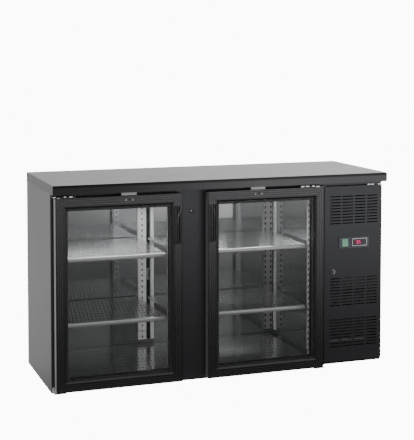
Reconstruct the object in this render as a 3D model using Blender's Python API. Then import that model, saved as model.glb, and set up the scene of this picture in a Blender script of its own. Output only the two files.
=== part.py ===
"""Under counter fridge with two glass doors and a service bay at the right, as separate named pieces.

Metres. +X is right seen from the front, the front faces -Y and +Z is up. The origin is on the floor,
under the centre of the whole object.
"""

import math

import bmesh
import bpy
from mathutils import Matrix, Vector

# ---------------------------------------------------------------- driving dimensions
WIDTH, DEPTH, HEIGHT = 1.460, 0.535, 0.860
WORKTOP_THICK, WORKTOP_CORNER, WORKTOP_ROUND = 0.038, 0.003, 0.004
BASE_Z = 0.026
SHEET = 0.0015
CLEAR = 0.0003
CUT = 0.010  # how far a cutter runs past the face it cuts through

HALF_WIDTH = WIDTH / 2
FRONT, BACK = -DEPTH / 2, DEPTH / 2
UNDER_TOP = HEIGHT - WORKTOP_THICK
BODY_TOP = UNDER_TOP - CLEAR
BODY_FRONT = -0.216
FRAME_THICK = 0.016
FRAME_BACK = BODY_FRONT + FRAME_THICK
INNER_X = HALF_WIDTH - SHEET - CLEAR
INNER_BACK = BACK - SHEET - CLEAR
PAN_THICK = 0.002
SIDE_FRONTS, SIDE_LOWS = {"left": -0.2155, "right": -0.2010}, {"left": BASE_Z, "right": 0.035}
BAY_RAIL_LOW, BAY_PAN_FRONT = 0.0342, -0.165
BACK_VENT_X, BACK_VENT_LOW, BACK_VENT_TALL = (0.500, 0.680), 0.180, 0.008
BACK_VENT_PITCH, BACK_VENT_ROWS = 0.030, 6

# doors
DOOR_WIDTH, DOOR_LOW, DOOR_HIGH = 0.520, 0.038, 0.809
DOOR_BACK = -0.230
LEFT_DOOR_X = -0.720
DOORS_CENTRE_X = -0.144
STILE = 0.042
PIN_INSET, PIN_Y, PIN_RADIUS = 0.012, -0.250, 0.004
GLASS_EDGE = 0.036
GLASS_FRONT, GLASS_BACK = -0.2602, -0.2373
GASKET_INSET, GASKET_WIDE = 0.014, 0.014
LOCK_Z, LOCK_OFFSET, LOCK_RADIUS, PLUG_RADIUS = 0.793, 0.039, 0.010, 0.006
CAM_REACH, CAM_HALF, CAM_FRONT, CAM_BACK = 0.024, 0.006, -0.2575, -0.2550
HANDLE_INSET, HANDLE_WIDE, HANDLE_LOW, HANDLE_HIGH, HANDLE_DEEP = 0.009, 0.024, 0.606, 0.756, 0.022
HANDLE_WALL = 0.0015
GROOVES, GROOVE_WIDE, GROOVE_DEEP = (0.008, 0.0165, 0.025), 0.002, 0.0013
PLATE_BACK, PLATE_THICK, BRACKET_REACH = -0.2163, 0.0025, -0.262
STRIKER_HALF, STRIKER_THICK = 0.0315, 0.002
MULLION_HALF, MULLION_LOW = 0.069, 0.070

# openings in the body front, and the cooled space behind it
LEFT_OPENING, RIGHT_OPENING = (-0.676, -0.244), (-0.044, 0.388)
OPENING_LOW, OPENING_HIGH = 0.080, 0.765
ROOM_LEFT, ROOM_RIGHT, ROOM_BACK = -0.688, 0.398, 0.222
ROOM_LOW, ROOM_HIGH = 0.078, 0.780
LINER_THICK = 0.001
BAY_LEFT = 0.4545
DIVIDER_RIGHT = 0.4522

# shelves and their uprights
SHELF_TOPS = {"upper": 0.558, "lower": 0.295}
SHELF_SPANS = {"left": (-0.666, -0.248), "right": (-0.204, 0.378)}
SHELF_FRONT, SHELF_REAR, SHELF_SHEET, SHELF_LIP, SHELF_ROLL = -0.195, 0.205, 0.0012, 0.017, 0.006
SHELF_HEM, SHELF_RETURN, FLOOR_PLATE_THICK = 0.012, 0.008, 0.0012
UPRIGHT_LOW, UPRIGHT_HIGH, UPRIGHT_WIDE, UPRIGHT_THICK = 0.100, 0.775, 0.020, 0.0035
UPRIGHT_Y, CENTRE_UPRIGHT_X, CENTRE_UPRIGHT_WIDE, CENTRE_UPRIGHT_THICK = 0.185, -0.229, 0.038, 0.0115
SLOT_PITCH, SLOT_TALL, SLOT_WIDE = 0.025, 0.009, 0.006

# service panel and what it carries
PANEL_LEFT, PANEL_LOW, PANEL_HIGH = 0.457, 0.0425, 0.803
PANEL_FRONT, PANEL_BACK, PANEL_SHEET = -0.218, -0.204, 0.0012
PANEL_PIN = (0.724, -0.211)
PANEL_PIN_RADIUS = 0.0025
PANEL_GAP = 0.0038
PANEL_WINDOW_X, PANEL_WINDOW_Z = (0.529, 0.663), (0.5365, 0.5785)
PANEL_PLATE_X, PANEL_PLATE_Y, PANEL_PLATE_THICK = (0.660, 0.7275), (-0.2160, -0.2055), 0.002
GRILLE_COLUMNS = ((0.484, 0.533), (0.540, 0.592), (0.600, 0.651), (0.659, 0.709))
GRILLE_GROUPS = (0.108, 0.287, 0.642)
GRILLE_ROWS, GRILLE_PITCH, GRILLE_SLOT = 10, 0.0129, 0.0044
BEZEL_X, BEZEL_Z, BEZEL_FRONT = (0.523, 0.669), (0.532, 0.582), -0.2215
CONTROLLER_X, CONTROLLER_Z, CONTROLLER_FRONT = (0.585, 0.657), (0.541, 0.575), -0.2235
CONTROLLER_BACK = -0.190
ROCKER_X, ROCKER_PIVOT, ROCKER_HALF_TALL, ROCKER_TILT = (0.540, 0.568), (-0.2135, 0.5565), 0.0165, 8
KEY_X, KEY_ZS, KEY_RADIUS = 0.6475, {"up": 0.5645, "down": 0.5515}, 0.0032
LATCH_X, LATCH_Z, LATCH_RADIUS, LATCH_SHAFT, LATCH_REACH = 0.496, 0.434, 0.0125, 0.009, 0.028
LATCH_DEEP, ARM_HALF, ARM_THICK = 0.020, 0.006, 0.002
KEEPER_LAP, KEEPER_RIGHT, KEEPER_HALF, KEEPER_Y = 0.010, LATCH_X - 0.021, 0.035, (-0.2025, -0.2005)

# service bay and evaporator
BAY_CENTRE_X = 0.590
CONDENSER_X, CONDENSER_Z, CONDENSER_Y = (0.478, 0.702), (0.070, 0.330), (-0.185, -0.140)
SHROUD_BACK, CONDENSER_FAN_Z, CONDENSER_FAN_RADIUS = -0.095, 0.200, 0.100
CONDENSER_FAN_Y, CONDENSER_HUB = -0.114, (0.026, 0.013)
COMPRESSOR_Y, COMPRESSOR_RADIUS, COMPRESSOR_HIGH = 0.150, 0.075, 0.171
COMPRESSOR_PLATE = (0.100, 0.080, 0.006)
EVAPORATOR_X, EVAPORATOR_Y, EVAPORATOR_Z = (-0.300, 0.012), (-0.020, 0.205), (0.722, 0.7795)
EVAPORATOR_WALL, EVAPORATOR_FAN, EVAPORATOR_FAN_RADIUS = 0.0012, (-0.222, 0.0925, 0.749), 0.052
EVAPORATOR_HUB, OUTLET_LEFT, OUTLET_PITCH, OUTLET_WIDE, OUTLETS = (0.018, 0.011), -0.150, 0.030, 0.018, 5
EVAPORATOR_FINS_X, EVAPORATOR_FINS_Y, EVAPORATOR_FINS_Z = (-0.150, -0.005), (0.010, 0.185), (0.730, 0.772)
LAMP_X, LAMP_Y, LAMP_Z = (-0.594, 0.306), (-0.190, -0.160), (0.766, 0.7795)
GLAND, GLAND_BORE, GLAND_NECK, GLAND_NUT = (0.660, 0.110), 0.005, 0.0105, 0.016
FOOT_X, FOOT_FRONT_Y, FOOT_REAR_Y, STUD_RADIUS = 0.660, -0.085, 0.200, 0.005

FINISHES = {
    "worktop_steel": ((0.30, 0.31, 0.32), 0.35, 0.6),
    "cabinet_black": ((0.030, 0.031, 0.034), 0.40, 0.2),
    "side_grey": ((0.24, 0.25, 0.25), 0.45, 0.4),
    "bright_aluminium": ((0.72, 0.73, 0.74), 0.20, 1.0),
    "hinge_zinc": ((0.62, 0.63, 0.64), 0.28, 1.0),
    "foam": ((0.80, 0.74, 0.55), 0.90, 0.0),
    "clear_glass": ((0.85, 0.90, 0.88), 0.02, 0.0),
    "gasket_rubber": ((0.02, 0.02, 0.02), 0.80, 0.0),
    "black_plastic": ((0.02, 0.02, 0.022), 0.50, 0.0),
    "bezel_metal": ((0.34, 0.33, 0.37), 0.35, 0.7),
    "lit_green": ((0.30, 0.62, 0.38), 0.30, 0.0),
    "key_grey": ((0.25, 0.25, 0.26), 0.50, 0.0),
    "lamp_white": ((0.90, 0.90, 0.88), 0.40, 0.0),
    "motor_black": ((0.03, 0.03, 0.03), 0.35, 0.5),
    "coil_metal": ((0.50, 0.40, 0.32), 0.40, 0.8),
}
AXIS_FRAMES = {
    "X": (Vector((0, 1, 0)), Vector((0, 0, 1)), Vector((1, 0, 0))),
    "Y": (Vector((1, 0, 0)), Vector((0, 0, 1)), Vector((0, 1, 0))),
    "Z": (Vector((1, 0, 0)), Vector((0, 1, 0)), Vector((0, 0, 1))),
}


# ---------------------------------------------------------------- helpers
def clear_scene():
    for obj in list(bpy.data.objects):
        bpy.data.objects.remove(obj)


def make_materials():
    made = {}
    for name, (colour, roughness, metallic) in FINISHES.items():
        material = bpy.data.materials.new(name)
        material.use_nodes = True
        shader = material.node_tree.nodes["Principled BSDF"]
        shader.inputs["Base Color"].default_value = (*colour, 1.0)
        shader.inputs["Roughness"].default_value = roughness
        shader.inputs["Metallic"].default_value = metallic
        material.diffuse_color = (*colour, 1.0)
        made[name] = material
    return made


def add_object(name, mesh_builder, finish=None, group=None, smooth=False):
    """One object from a bmesh in world coordinates. With no finish it is a hidden cutter or helper."""
    bmesh.ops.recalc_face_normals(mesh_builder, faces=mesh_builder.faces)
    mesh = bpy.data.meshes.new(name)
    origin = group.location if group else Vector((0, 0, 0))
    bmesh.ops.translate(mesh_builder, verts=mesh_builder.verts, vec=-origin)
    mesh_builder.to_mesh(mesh)
    mesh_builder.free()
    if smooth:
        mesh.shade_smooth()
        mesh.set_sharp_from_angle(angle=math.radians(35))
    obj = bpy.data.objects.new(name, mesh)
    obj.parent = group
    bpy.context.scene.collection.objects.link(obj)
    if finish:
        mesh.materials.append(MATERIALS[finish])
    else:
        obj.hide_render = True
        obj.display_type = "WIRE"
    return obj


def axis_group(name, location):
    """An empty on a joint's axis, which the pieces of one moving body hang from."""
    empty = bpy.data.objects.new(name, None)
    empty.location = location
    empty.empty_display_size = 0.05
    bpy.context.scene.collection.objects.link(empty)
    return empty


def combine(obj, helper, operation="DIFFERENCE"):
    """Cuts the helper from the object, or joins it on with UNION."""
    helper.parent = obj.parent
    modifier = obj.modifiers.new(helper.name, "BOOLEAN")
    modifier.operation = operation
    modifier.solver = "EXACT"
    modifier.object = helper


def add_box(target, low, high):
    corners = bmesh.ops.create_cube(target, size=1)["verts"]
    size = Vector(high) - Vector(low)
    middle = (Vector(high) + Vector(low)) / 2
    bmesh.ops.scale(target, vec=size, verts=corners)
    bmesh.ops.translate(target, vec=middle, verts=corners)
    return corners


def boxes(*corner_pairs):
    made = bmesh.new()
    for low, high in corner_pairs:
        add_box(made, low, high)
    return made


def prism(outline, axis, start, end):
    """The outline, in the two other directions, drawn out along the axis."""
    across, up, along = AXIS_FRAMES[axis]
    made = bmesh.new()
    verts = [made.verts.new(across * u + up * v + along * start) for u, v in outline]
    face = made.faces.new(verts)
    pushed = bmesh.ops.extrude_face_region(made, geom=[face])["geom"]
    moved = [item for item in pushed if isinstance(item, bmesh.types.BMVert)]
    bmesh.ops.translate(made, vec=along * (end - start), verts=moved)
    return made


def folded(points, thick):
    """The closed outline of a sheet bent along the points, thick to the left of the way they run."""
    offset = []
    for index, point in enumerate(points):
        here = Vector(point)
        before = here - Vector(points[index - 1]) if index else None
        after = Vector(points[index + 1]) - here if index + 1 < len(points) else None
        first, second = (before or after).normalized(), (after or before).normalized()
        normal_one, normal_two = Vector((-first.y, first.x)), Vector((-second.y, second.x))
        mitre = normal_one + normal_two
        offset.append(here + mitre * (2 * thick / mitre.length_squared))
    return [tuple(p) for p in points] + [tuple(p) for p in reversed(offset)]


def arc(centre, radius, start, end, steps):
    """Points along an arc, in degrees."""
    angles = [math.radians(start + (end - start) * i / steps) for i in range(steps + 1)]
    return [(centre[0] + radius * math.cos(a), centre[1] + radius * math.sin(a)) for a in angles]


def turned(profile, axis, centre, segments=24):
    """A closed profile of (radius, height) turned round the axis. A radius of 0 closes it on the axis."""
    across, up, along = AXIS_FRAMES[axis]
    made = bmesh.new()
    rings = []
    for radius, height in profile:
        middle = Vector(centre) + along * height
        count = segments if radius else 1
        turn = [2 * math.pi * (i + 0.5) / segments for i in range(count)]
        spokes = [across * math.cos(a) * radius + up * math.sin(a) * radius for a in turn]
        rings.append([made.verts.new(middle + spoke) for spoke in spokes])
    pairs = list(zip(rings, rings[1:]))
    if len(rings[0]) > 1 and len(rings[-1]) > 1:
        pairs.append((rings[-1], rings[0]))
    for low, high in pairs:
        for i in range(segments):
            nexts = (i + 1) % segments
            lower = [low[i % len(low)], low[nexts % len(low)]]
            upper = [high[nexts % len(high)], high[i % len(high)]]
            made.faces.new(list(dict.fromkeys(lower + upper)))
    return made


def rod(axis, centre, radius, start, end, segments=24):
    return turned([(0, start), (radius, start), (radius, end), (0, end)], axis, centre, segments)


def cell_plate(across, up, keep, axis, start, end):
    """A plate made of the cells that keep(column, row) accepts, between the lines across and up."""
    first, second, along = AXIS_FRAMES[axis]
    made = bmesh.new()
    grid = {}

    def corner(i, j):
        if (i, j) not in grid:
            grid[i, j] = made.verts.new(first * across[i] + second * up[j] + along * start)
        return grid[i, j]

    for i in range(len(across) - 1):
        for j in range(len(up) - 1):
            if keep(i, j):
                made.faces.new([corner(i, j), corner(i + 1, j), corner(i + 1, j + 1), corner(i, j + 1)])
    pushed = bmesh.ops.extrude_face_region(made, geom=list(made.faces))["geom"]
    moved = [item for item in pushed if isinstance(item, bmesh.types.BMVert)]
    bmesh.ops.translate(made, vec=along * (end - start), verts=moved)
    return made


def mitred_ring(profile, low, high):
    """A closed profile of (inset, depth along Y) swept round a rectangle in XZ, mitred at its corners."""
    made = bmesh.new()
    corners = (
        (low[0], low[1], 1, 1), (high[0], low[1], -1, 1),
        (high[0], high[1], -1, -1), (low[0], high[1], 1, -1),
    )
    loops = []
    for x, z, x_way, z_way in corners:
        loops.append([made.verts.new((x + x_way * inset, y, z + z_way * inset)) for inset, y in profile])
    for index, loop in enumerate(loops):
        following = loops[(index + 1) % len(loops)]
        for i in range(len(profile)):
            j = (i + 1) % len(profile)
            made.faces.new([loop[i], loop[j], following[j], following[i]])
    return made


def mirrored(x):
    """The place of x on the other door."""
    return 2 * DOORS_CENTRE_X - x


# ---------------------------------------------------------------- cabinet
def build_worktop():
    made = boxes(((-HALF_WIDTH, FRONT, UNDER_TOP), (HALF_WIDTH, BACK, HEIGHT)))
    upright = [
        edge for edge in made.edges
        if all(vert.co.y < 0 for vert in edge.verts)
        and edge.verts[0].co.x == edge.verts[1].co.x
        and edge.verts[0].co.z != edge.verts[1].co.z
    ]
    bmesh.ops.bevel(made, geom=upright, offset=WORKTOP_CORNER, segments=3, profile=0.5, affect="EDGES")
    near, slack = FRONT + WORKTOP_CORNER, 0.0001
    front_top = [
        edge for edge in made.edges
        if all(vert.co.z > HEIGHT - slack and vert.co.y < near + slack for vert in edge.verts)
    ]
    bmesh.ops.bevel(made, geom=front_top, offset=WORKTOP_ROUND, segments=3, profile=0.5, affect="EDGES")
    add_object("worktop", made, "worktop_steel", smooth=True)


def build_shell():
    for side, name in ((-1, "left"), (1, "right")):
        outer, inner = side * HALF_WIDTH, side * (HALF_WIDTH - SHEET)
        low = (min(outer, inner), SIDE_FRONTS[name], SIDE_LOWS[name])
        high = (max(outer, inner), BACK - SHEET - CLEAR, BODY_TOP)
        add_object(f"side_panel_{name}", boxes((low, high)), "side_grey")
    back = add_object(
        "back_panel",
        boxes(((-INNER_X, BACK - SHEET, BASE_Z), (INNER_X, BACK, BODY_TOP))),
        "cabinet_black",
    )
    vents = [
        ((BACK_VENT_X[0], BACK - CUT, z), (BACK_VENT_X[1], BACK + CUT, z + BACK_VENT_TALL))
        for z in (BACK_VENT_LOW + BACK_VENT_PITCH * row for row in range(BACK_VENT_ROWS))
    ]
    combine(back, add_object("back_vents_cut", boxes(*vents)))
    gland_hole = rod("Y", (GLAND[0], BACK, GLAND[1]), GLAND_NECK + 0.0006, -CUT, CUT)
    combine(back, add_object("gland_hole_cut", gland_hole))
    sheet = boxes(((-INNER_X, FRAME_BACK + CLEAR, BASE_Z), (INNER_X, INNER_BACK, BASE_Z + PAN_THICK)))
    pan = add_object("base_pan", sheet, "cabinet_black")
    step = boxes(((BAY_LEFT, FRAME_BACK - CUT, BASE_Z - CUT), (HALF_WIDTH, BAY_PAN_FRONT, BASE_Z + CUT)))
    combine(pan, add_object("pan_step_cut", step))
    for place, (x, y) in foot_places().items():
        hole = rod("Z", (x, y, BASE_Z), STUD_RADIUS + 0.0006, -CUT, CUT, 16)
        combine(pan, add_object(f"stud_hole_{place}_cut", hole))


def build_insulation():
    wall = LINER_THICK + CLEAR
    front = FRAME_BACK + CLEAR
    foam_low = (-INNER_X, front, BASE_Z + PAN_THICK + CLEAR)
    foam_high = (DIVIDER_RIGHT, INNER_BACK, BODY_TOP - CLEAR)
    foam = add_object("foam_insulation", boxes((foam_low, foam_high)), "foam")
    combine(foam, add_object("foam_room_cut", room_box(front - CUT, wall)))
    liner = add_object("liner", room_box(front, LINER_THICK), "bright_aluminium")
    combine(liner, add_object("liner_room_cut", room_box(front - CUT, 0)))


def room_box(front, wall):
    """The cooled space as a block from the front, grown by the wall on its other sides."""
    low = (ROOM_LEFT - wall, front, ROOM_LOW - wall)
    high = (ROOM_RIGHT + wall, ROOM_BACK + wall, ROOM_HIGH + wall)
    return boxes((low, high))


def build_front_frame():
    across = [-INNER_X, *LEFT_OPENING, *RIGHT_OPENING, BAY_LEFT, INNER_X]
    up = [
        BASE_Z, BAY_RAIL_LOW, PANEL_LOW - PANEL_GAP,
        OPENING_LOW, OPENING_HIGH, PANEL_HIGH + PANEL_GAP, BODY_TOP,
    ]
    opening_row, full_rows, bay_column, post_columns = 3, (1, 5), 5, (0, 2, 4)

    def keep(column, row):
        if row in full_rows:
            return True
        return column in post_columns if row == opening_row else column != bay_column

    plate = cell_plate(across, up, keep, "Y", BODY_FRONT, FRAME_BACK)
    frame = add_object("front_frame", plate, "cabinet_black")
    keeper_low = (BAY_LEFT - KEEPER_LAP, KEEPER_Y[0], LATCH_Z - KEEPER_HALF)
    keeper_high = (KEEPER_RIGHT, KEEPER_Y[1], LATCH_Z + KEEPER_HALF)
    combine(frame, add_object("latch_keeper_join", boxes((keeper_low, keeper_high))), "UNION")
    cover_low = (DOORS_CENTRE_X - MULLION_HALF, PLATE_BACK - 0.0022, MULLION_LOW)
    cover_high = (DOORS_CENTRE_X + MULLION_HALF, PLATE_BACK, BODY_TOP - CLEAR)
    add_object("mullion_cover", boxes((cover_low, cover_high)), "cabinet_black")


def foot_places():
    return {
        "front_left": (-FOOT_X, FOOT_FRONT_Y), "front_right": (FOOT_X, FOOT_FRONT_Y),
        "rear_left": (-FOOT_X, FOOT_REAR_Y), "rear_right": (FOOT_X, FOOT_REAR_Y),
    }


def build_feet():
    profile = [
        (0, 0), (0.019, 0), (0.021, 0.002), (0.021, 0.006), (0.012, 0.011), (0.009, 0.011),
        (0.009, 0.018), (STUD_RADIUS, 0.018), (STUD_RADIUS, BASE_Z + 0.0015), (0, BASE_Z + 0.0015),
    ]
    for place, (x, y) in foot_places().items():
        group = axis_group(f"axis_foot_{place}", (x, y, 0))
        foot = turned(profile, "Z", (x, y, 0), 16)
        add_object(f"foot_{place}", foot, "black_plastic", group, smooth=True)


# ---------------------------------------------------------------- shelves
def build_shelves():
    for level, top in SHELF_TOPS.items():
        roll = (SHELF_FRONT + SHELF_ROLL, top - SHELF_ROLL)
        points = [(SHELF_REAR, top - SHELF_HEM), (SHELF_REAR, top)]
        points += arc(roll, SHELF_ROLL, 90, 180, 4)
        points += [(SHELF_FRONT, top - SHELF_LIP), (SHELF_FRONT + SHELF_RETURN, top - SHELF_LIP)]
        outline = folded(points, SHELF_SHEET)
        for side, (left, right) in SHELF_SPANS.items():
            shelf = prism(outline, "X", left, right)
            add_object(f"shelf_{side}_{level}", shelf, "bright_aluminium", smooth=True)
    low = (SHELF_SPANS["left"][0], SHELF_FRONT, ROOM_LOW + CLEAR)
    high = (SHELF_SPANS["right"][1], SHELF_REAR, ROOM_LOW + CLEAR + FLOOR_PLATE_THICK)
    add_object("floor_plate", boxes((low, high)), "bright_aluminium")


def slotted_strip(wide, axis, middle, start, end):
    """An upright strip with one row of slots, through it along the axis."""
    across = [middle - wide / 2, middle - SLOT_WIDE / 2, middle + SLOT_WIDE / 2, middle + wide / 2]
    count = int((UPRIGHT_HIGH - UPRIGHT_LOW) / SLOT_PITCH)
    up = [UPRIGHT_LOW]
    for index in range(count):
        slot = UPRIGHT_LOW + SLOT_PITCH * (index + 0.5)
        up += [slot - SLOT_TALL / 2, slot + SLOT_TALL / 2]
    up.append(UPRIGHT_HIGH)
    return cell_plate(across, up, lambda column, row: column != 1 or row % 2 == 0, axis, start, end)


def build_uprights():
    wall_left, wall_right = ROOM_LEFT + CLEAR, ROOM_RIGHT - CLEAR
    spans = {
        "left": (wall_left, wall_left + UPRIGHT_THICK),
        "right": (wall_right - UPRIGHT_THICK, wall_right),
    }
    for place, y in (("front", -UPRIGHT_Y), ("rear", UPRIGHT_Y)):
        for side, (start, end) in spans.items():
            strip = slotted_strip(UPRIGHT_WIDE, "X", y, start, end)
            add_object(f"pilaster_{side}_{place}", strip, "bright_aluminium")
    back, behind = ROOM_BACK - CLEAR, FRAME_BACK + CLEAR
    rear = slotted_strip(CENTRE_UPRIGHT_WIDE, "Y", CENTRE_UPRIGHT_X, back - CENTRE_UPRIGHT_THICK, back)
    add_object("pilaster_centre_rear", rear, "bright_aluminium")
    front = slotted_strip(UPRIGHT_WIDE, "Y", CENTRE_UPRIGHT_X, behind, behind + UPRIGHT_THICK)
    add_object("pilaster_centre_front", front, "bright_aluminium")


def comb(outer, inner, depth, core, teeth):
    """The outline of a finned block: teeth that stand from a core, between outer and inner."""
    pitch = (inner - outer) / (teeth - 0.5)
    points = [(inner, core), (outer, core)]
    for index in range(teeth):
        left = outer + pitch * index
        points += [(left, depth), (left + pitch / 2, depth)]
        if index + 1 < teeth:
            points += [(left + pitch / 2, (core + depth) / 2), (left + pitch, (core + depth) / 2)]
    return points


# ---------------------------------------------------------------- evaporator at the ceiling
def build_evaporator():
    (left, right), (front, back), (low, high) = EVAPORATOR_X, EVAPORATOR_Y, EVAPORATOR_Z
    wall = EVAPORATOR_WALL
    casing = boxes(((left, front, low), (right, back, high)))
    cover = add_object("evaporator_cover", casing, "bright_aluminium")
    pocket = boxes(((left + wall, front + wall, low + wall), (right - wall, back - wall, high + CUT)))
    combine(cover, add_object("evaporator_pocket_cut", pocket))
    hole = rod("Z", EVAPORATOR_FAN, EVAPORATOR_FAN_RADIUS + 0.004, low - CUT - EVAPORATOR_FAN[2], 0)
    combine(cover, add_object("evaporator_hole_cut", hole))
    edge = 0.012
    slots = [
        ((x, front - CUT, low + edge), (x + OUTLET_WIDE, front + CUT, high - edge))
        for x in (OUTLET_LEFT + OUTLET_PITCH * index for index in range(OUTLETS))
    ]
    combine(cover, add_object("evaporator_outlet_cut", boxes(*slots)))
    fins = comb(*EVAPORATOR_FINS_X, *EVAPORATOR_FINS_Z, 12)
    add_object("evaporator_coil", prism(fins, "Y", *EVAPORATOR_FINS_Y), "coil_metal")
    build_rotor("evaporator_fan", "Z", EVAPORATOR_FAN, EVAPORATOR_FAN_RADIUS, EVAPORATOR_HUB)
    lamp = [
        (LAMP_Y[0], LAMP_Z[0]), (LAMP_Y[1] - 0.006, LAMP_Z[0]),
        (LAMP_Y[1], LAMP_Z[1]), (LAMP_Y[0], LAMP_Z[1]),
    ]
    add_object("interior_lamp", prism(lamp, "X", *LAMP_X), "lamp_white")


def build_rotor(name, axis, centre, radius, hub_size, blades=5):
    """A fan's hub and blades, which turn about the axis through the centre."""
    across, up, along = AXIS_FRAMES[axis]
    hub_radius, half_hub = hub_size
    profile = [
        (0, -half_hub), (hub_radius * 0.8, -half_hub), (hub_radius, -half_hub * 0.6),
        (hub_radius, half_hub), (0, half_hub),
    ]
    group = axis_group(f"axis_{name}", centre)
    hub = add_object(name, turned(profile, axis, centre, 20), "motor_black", group, smooth=True)
    made = bmesh.new()
    half_wide, half_thick, pitch = radius * 0.27, 0.0012, math.radians(24)
    for index in range(blades):
        root = hub_radius * 0.7
        corners = add_box(made, (root, -half_wide, -half_thick), (radius, half_wide, half_thick))
        tilt = Matrix.Rotation(pitch, 4, "X")
        spin = Matrix.Rotation(2 * math.pi * index / blades, 4, "Z")
        frame = Matrix((across, up, along)).transposed().to_4x4()
        place = Matrix.Translation(Vector(centre)) @ frame @ spin @ tilt
        bmesh.ops.transform(made, matrix=place, verts=corners)
    combine(hub, add_object(f"{name}_blades_join", made, group=group), "UNION")


# ---------------------------------------------------------------- doors
def frame_profile():
    """One stile, as (inset from the door's edge, y): grooves in the face and a channel for the glass."""
    edge, bead = 0.0015, 0.007
    front = [(0.0, FRONT + edge), (edge, FRONT)]
    for start in GROOVES:
        bottom, end = start + GROOVE_WIDE / 2, start + GROOVE_WIDE
        front += [(start, FRONT), (bottom, FRONT + GROOVE_DEEP), (end, FRONT)]
    lip = [(STILE - bead, FRONT), (STILE, FRONT + 0.004), (STILE, GLASS_FRONT - CLEAR)]
    floor = GLASS_EDGE - 0.0005
    channel = [(floor, GLASS_FRONT - CLEAR), (floor, GLASS_BACK + CLEAR)]
    rear = [(STILE, GLASS_BACK + CLEAR), (STILE, DOOR_BACK), (0.0, DOOR_BACK)]
    return front + lip + channel + rear


def build_door(side):
    """side is -1 for the left door and 1 for the right one. Each is hinged at its outer edge."""
    name = "left" if side < 0 else "right"
    left = LEFT_DOOR_X if side < 0 else mirrored(LEFT_DOOR_X) - DOOR_WIDTH
    low, high = (left, DOOR_LOW), (left + DOOR_WIDTH, DOOR_HIGH)
    hinge_edge, free_edge = (low[0], high[0]) if side < 0 else (high[0], low[0])
    pin_x = hinge_edge - side * PIN_INSET
    group = axis_group(f"axis_door_{name}", (pin_x, PIN_Y, 0))
    ring = mitred_ring(frame_profile(), low, high)
    frame = add_object(f"door_frame_{name}", ring, "cabinet_black", group)
    deep = 0.013
    holes = {"top": (DOOR_HIGH - deep, DOOR_HIGH + CUT), "bottom": (DOOR_LOW - CUT, DOOR_LOW + deep)}
    for end, (start, stop) in holes.items():
        hole = rod("Z", (pin_x, PIN_Y, 0), PIN_RADIUS + 0.0004, start, stop, 16)
        combine(frame, add_object(f"pin_hole_{name}_{end}_cut", hole, group=group))
    glass_low = (low[0] + GLASS_EDGE, GLASS_FRONT, low[1] + GLASS_EDGE)
    glass_high = (high[0] - GLASS_EDGE, GLASS_BACK, high[1] - GLASS_EDGE)
    add_object(f"door_glass_{name}", boxes((glass_low, glass_high)), "clear_glass", group)
    build_gasket(name, low, high, group)
    build_handle(name, side, free_edge, frame, group)
    build_lock(name, (low[0] + high[0]) / 2 - side * LOCK_OFFSET, frame, group)
    build_door_hinges(name, side, hinge_edge, pin_x)


def build_gasket(name, low, high, group):
    outer, inner = GASKET_INSET, GASKET_INSET + GASKET_WIDE
    back, front, fold = -0.2167, DOOR_BACK + CLEAR, 0.003
    waist = (front + back) / 2
    profile = [
        (outer, front), (inner, front), (inner - fold, waist),
        (inner, back), (outer, back), (outer + fold, waist),
    ]
    add_object(f"door_gasket_{name}", mitred_ring(profile, low, high), "gasket_rubber", group)


def build_handle(name, side, free_edge, frame, group):
    """A grip cup set into the free stile."""
    near, far = free_edge + side * HANDLE_INSET, free_edge + side * (HANDLE_INSET + HANDLE_WIDE)
    x_low, x_high = min(near, far), max(near, far)
    recess = boxes(((x_low, FRONT - CUT, HANDLE_LOW), (x_high, FRONT + HANDLE_DEEP, HANDLE_HIGH)))
    combine(frame, add_object(f"handle_recess_{name}_cut", recess, group=group))
    cup = boxes((
        (x_low + CLEAR, FRONT + CLEAR, HANDLE_LOW + CLEAR),
        (x_high - CLEAR, FRONT + HANDLE_DEEP - CLEAR, HANDLE_HIGH - CLEAR),
    ))
    handle = add_object(f"door_handle_{name}", cup, "black_plastic", group)
    wall = CLEAR + HANDLE_WALL
    hollow = boxes((
        (x_low + wall, FRONT - CUT, HANDLE_LOW + wall),
        (x_high - wall, FRONT + HANDLE_DEEP - wall, HANDLE_HIGH - wall),
    ))
    combine(handle, add_object(f"handle_hollow_{name}_cut", hollow, group=group))


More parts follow.
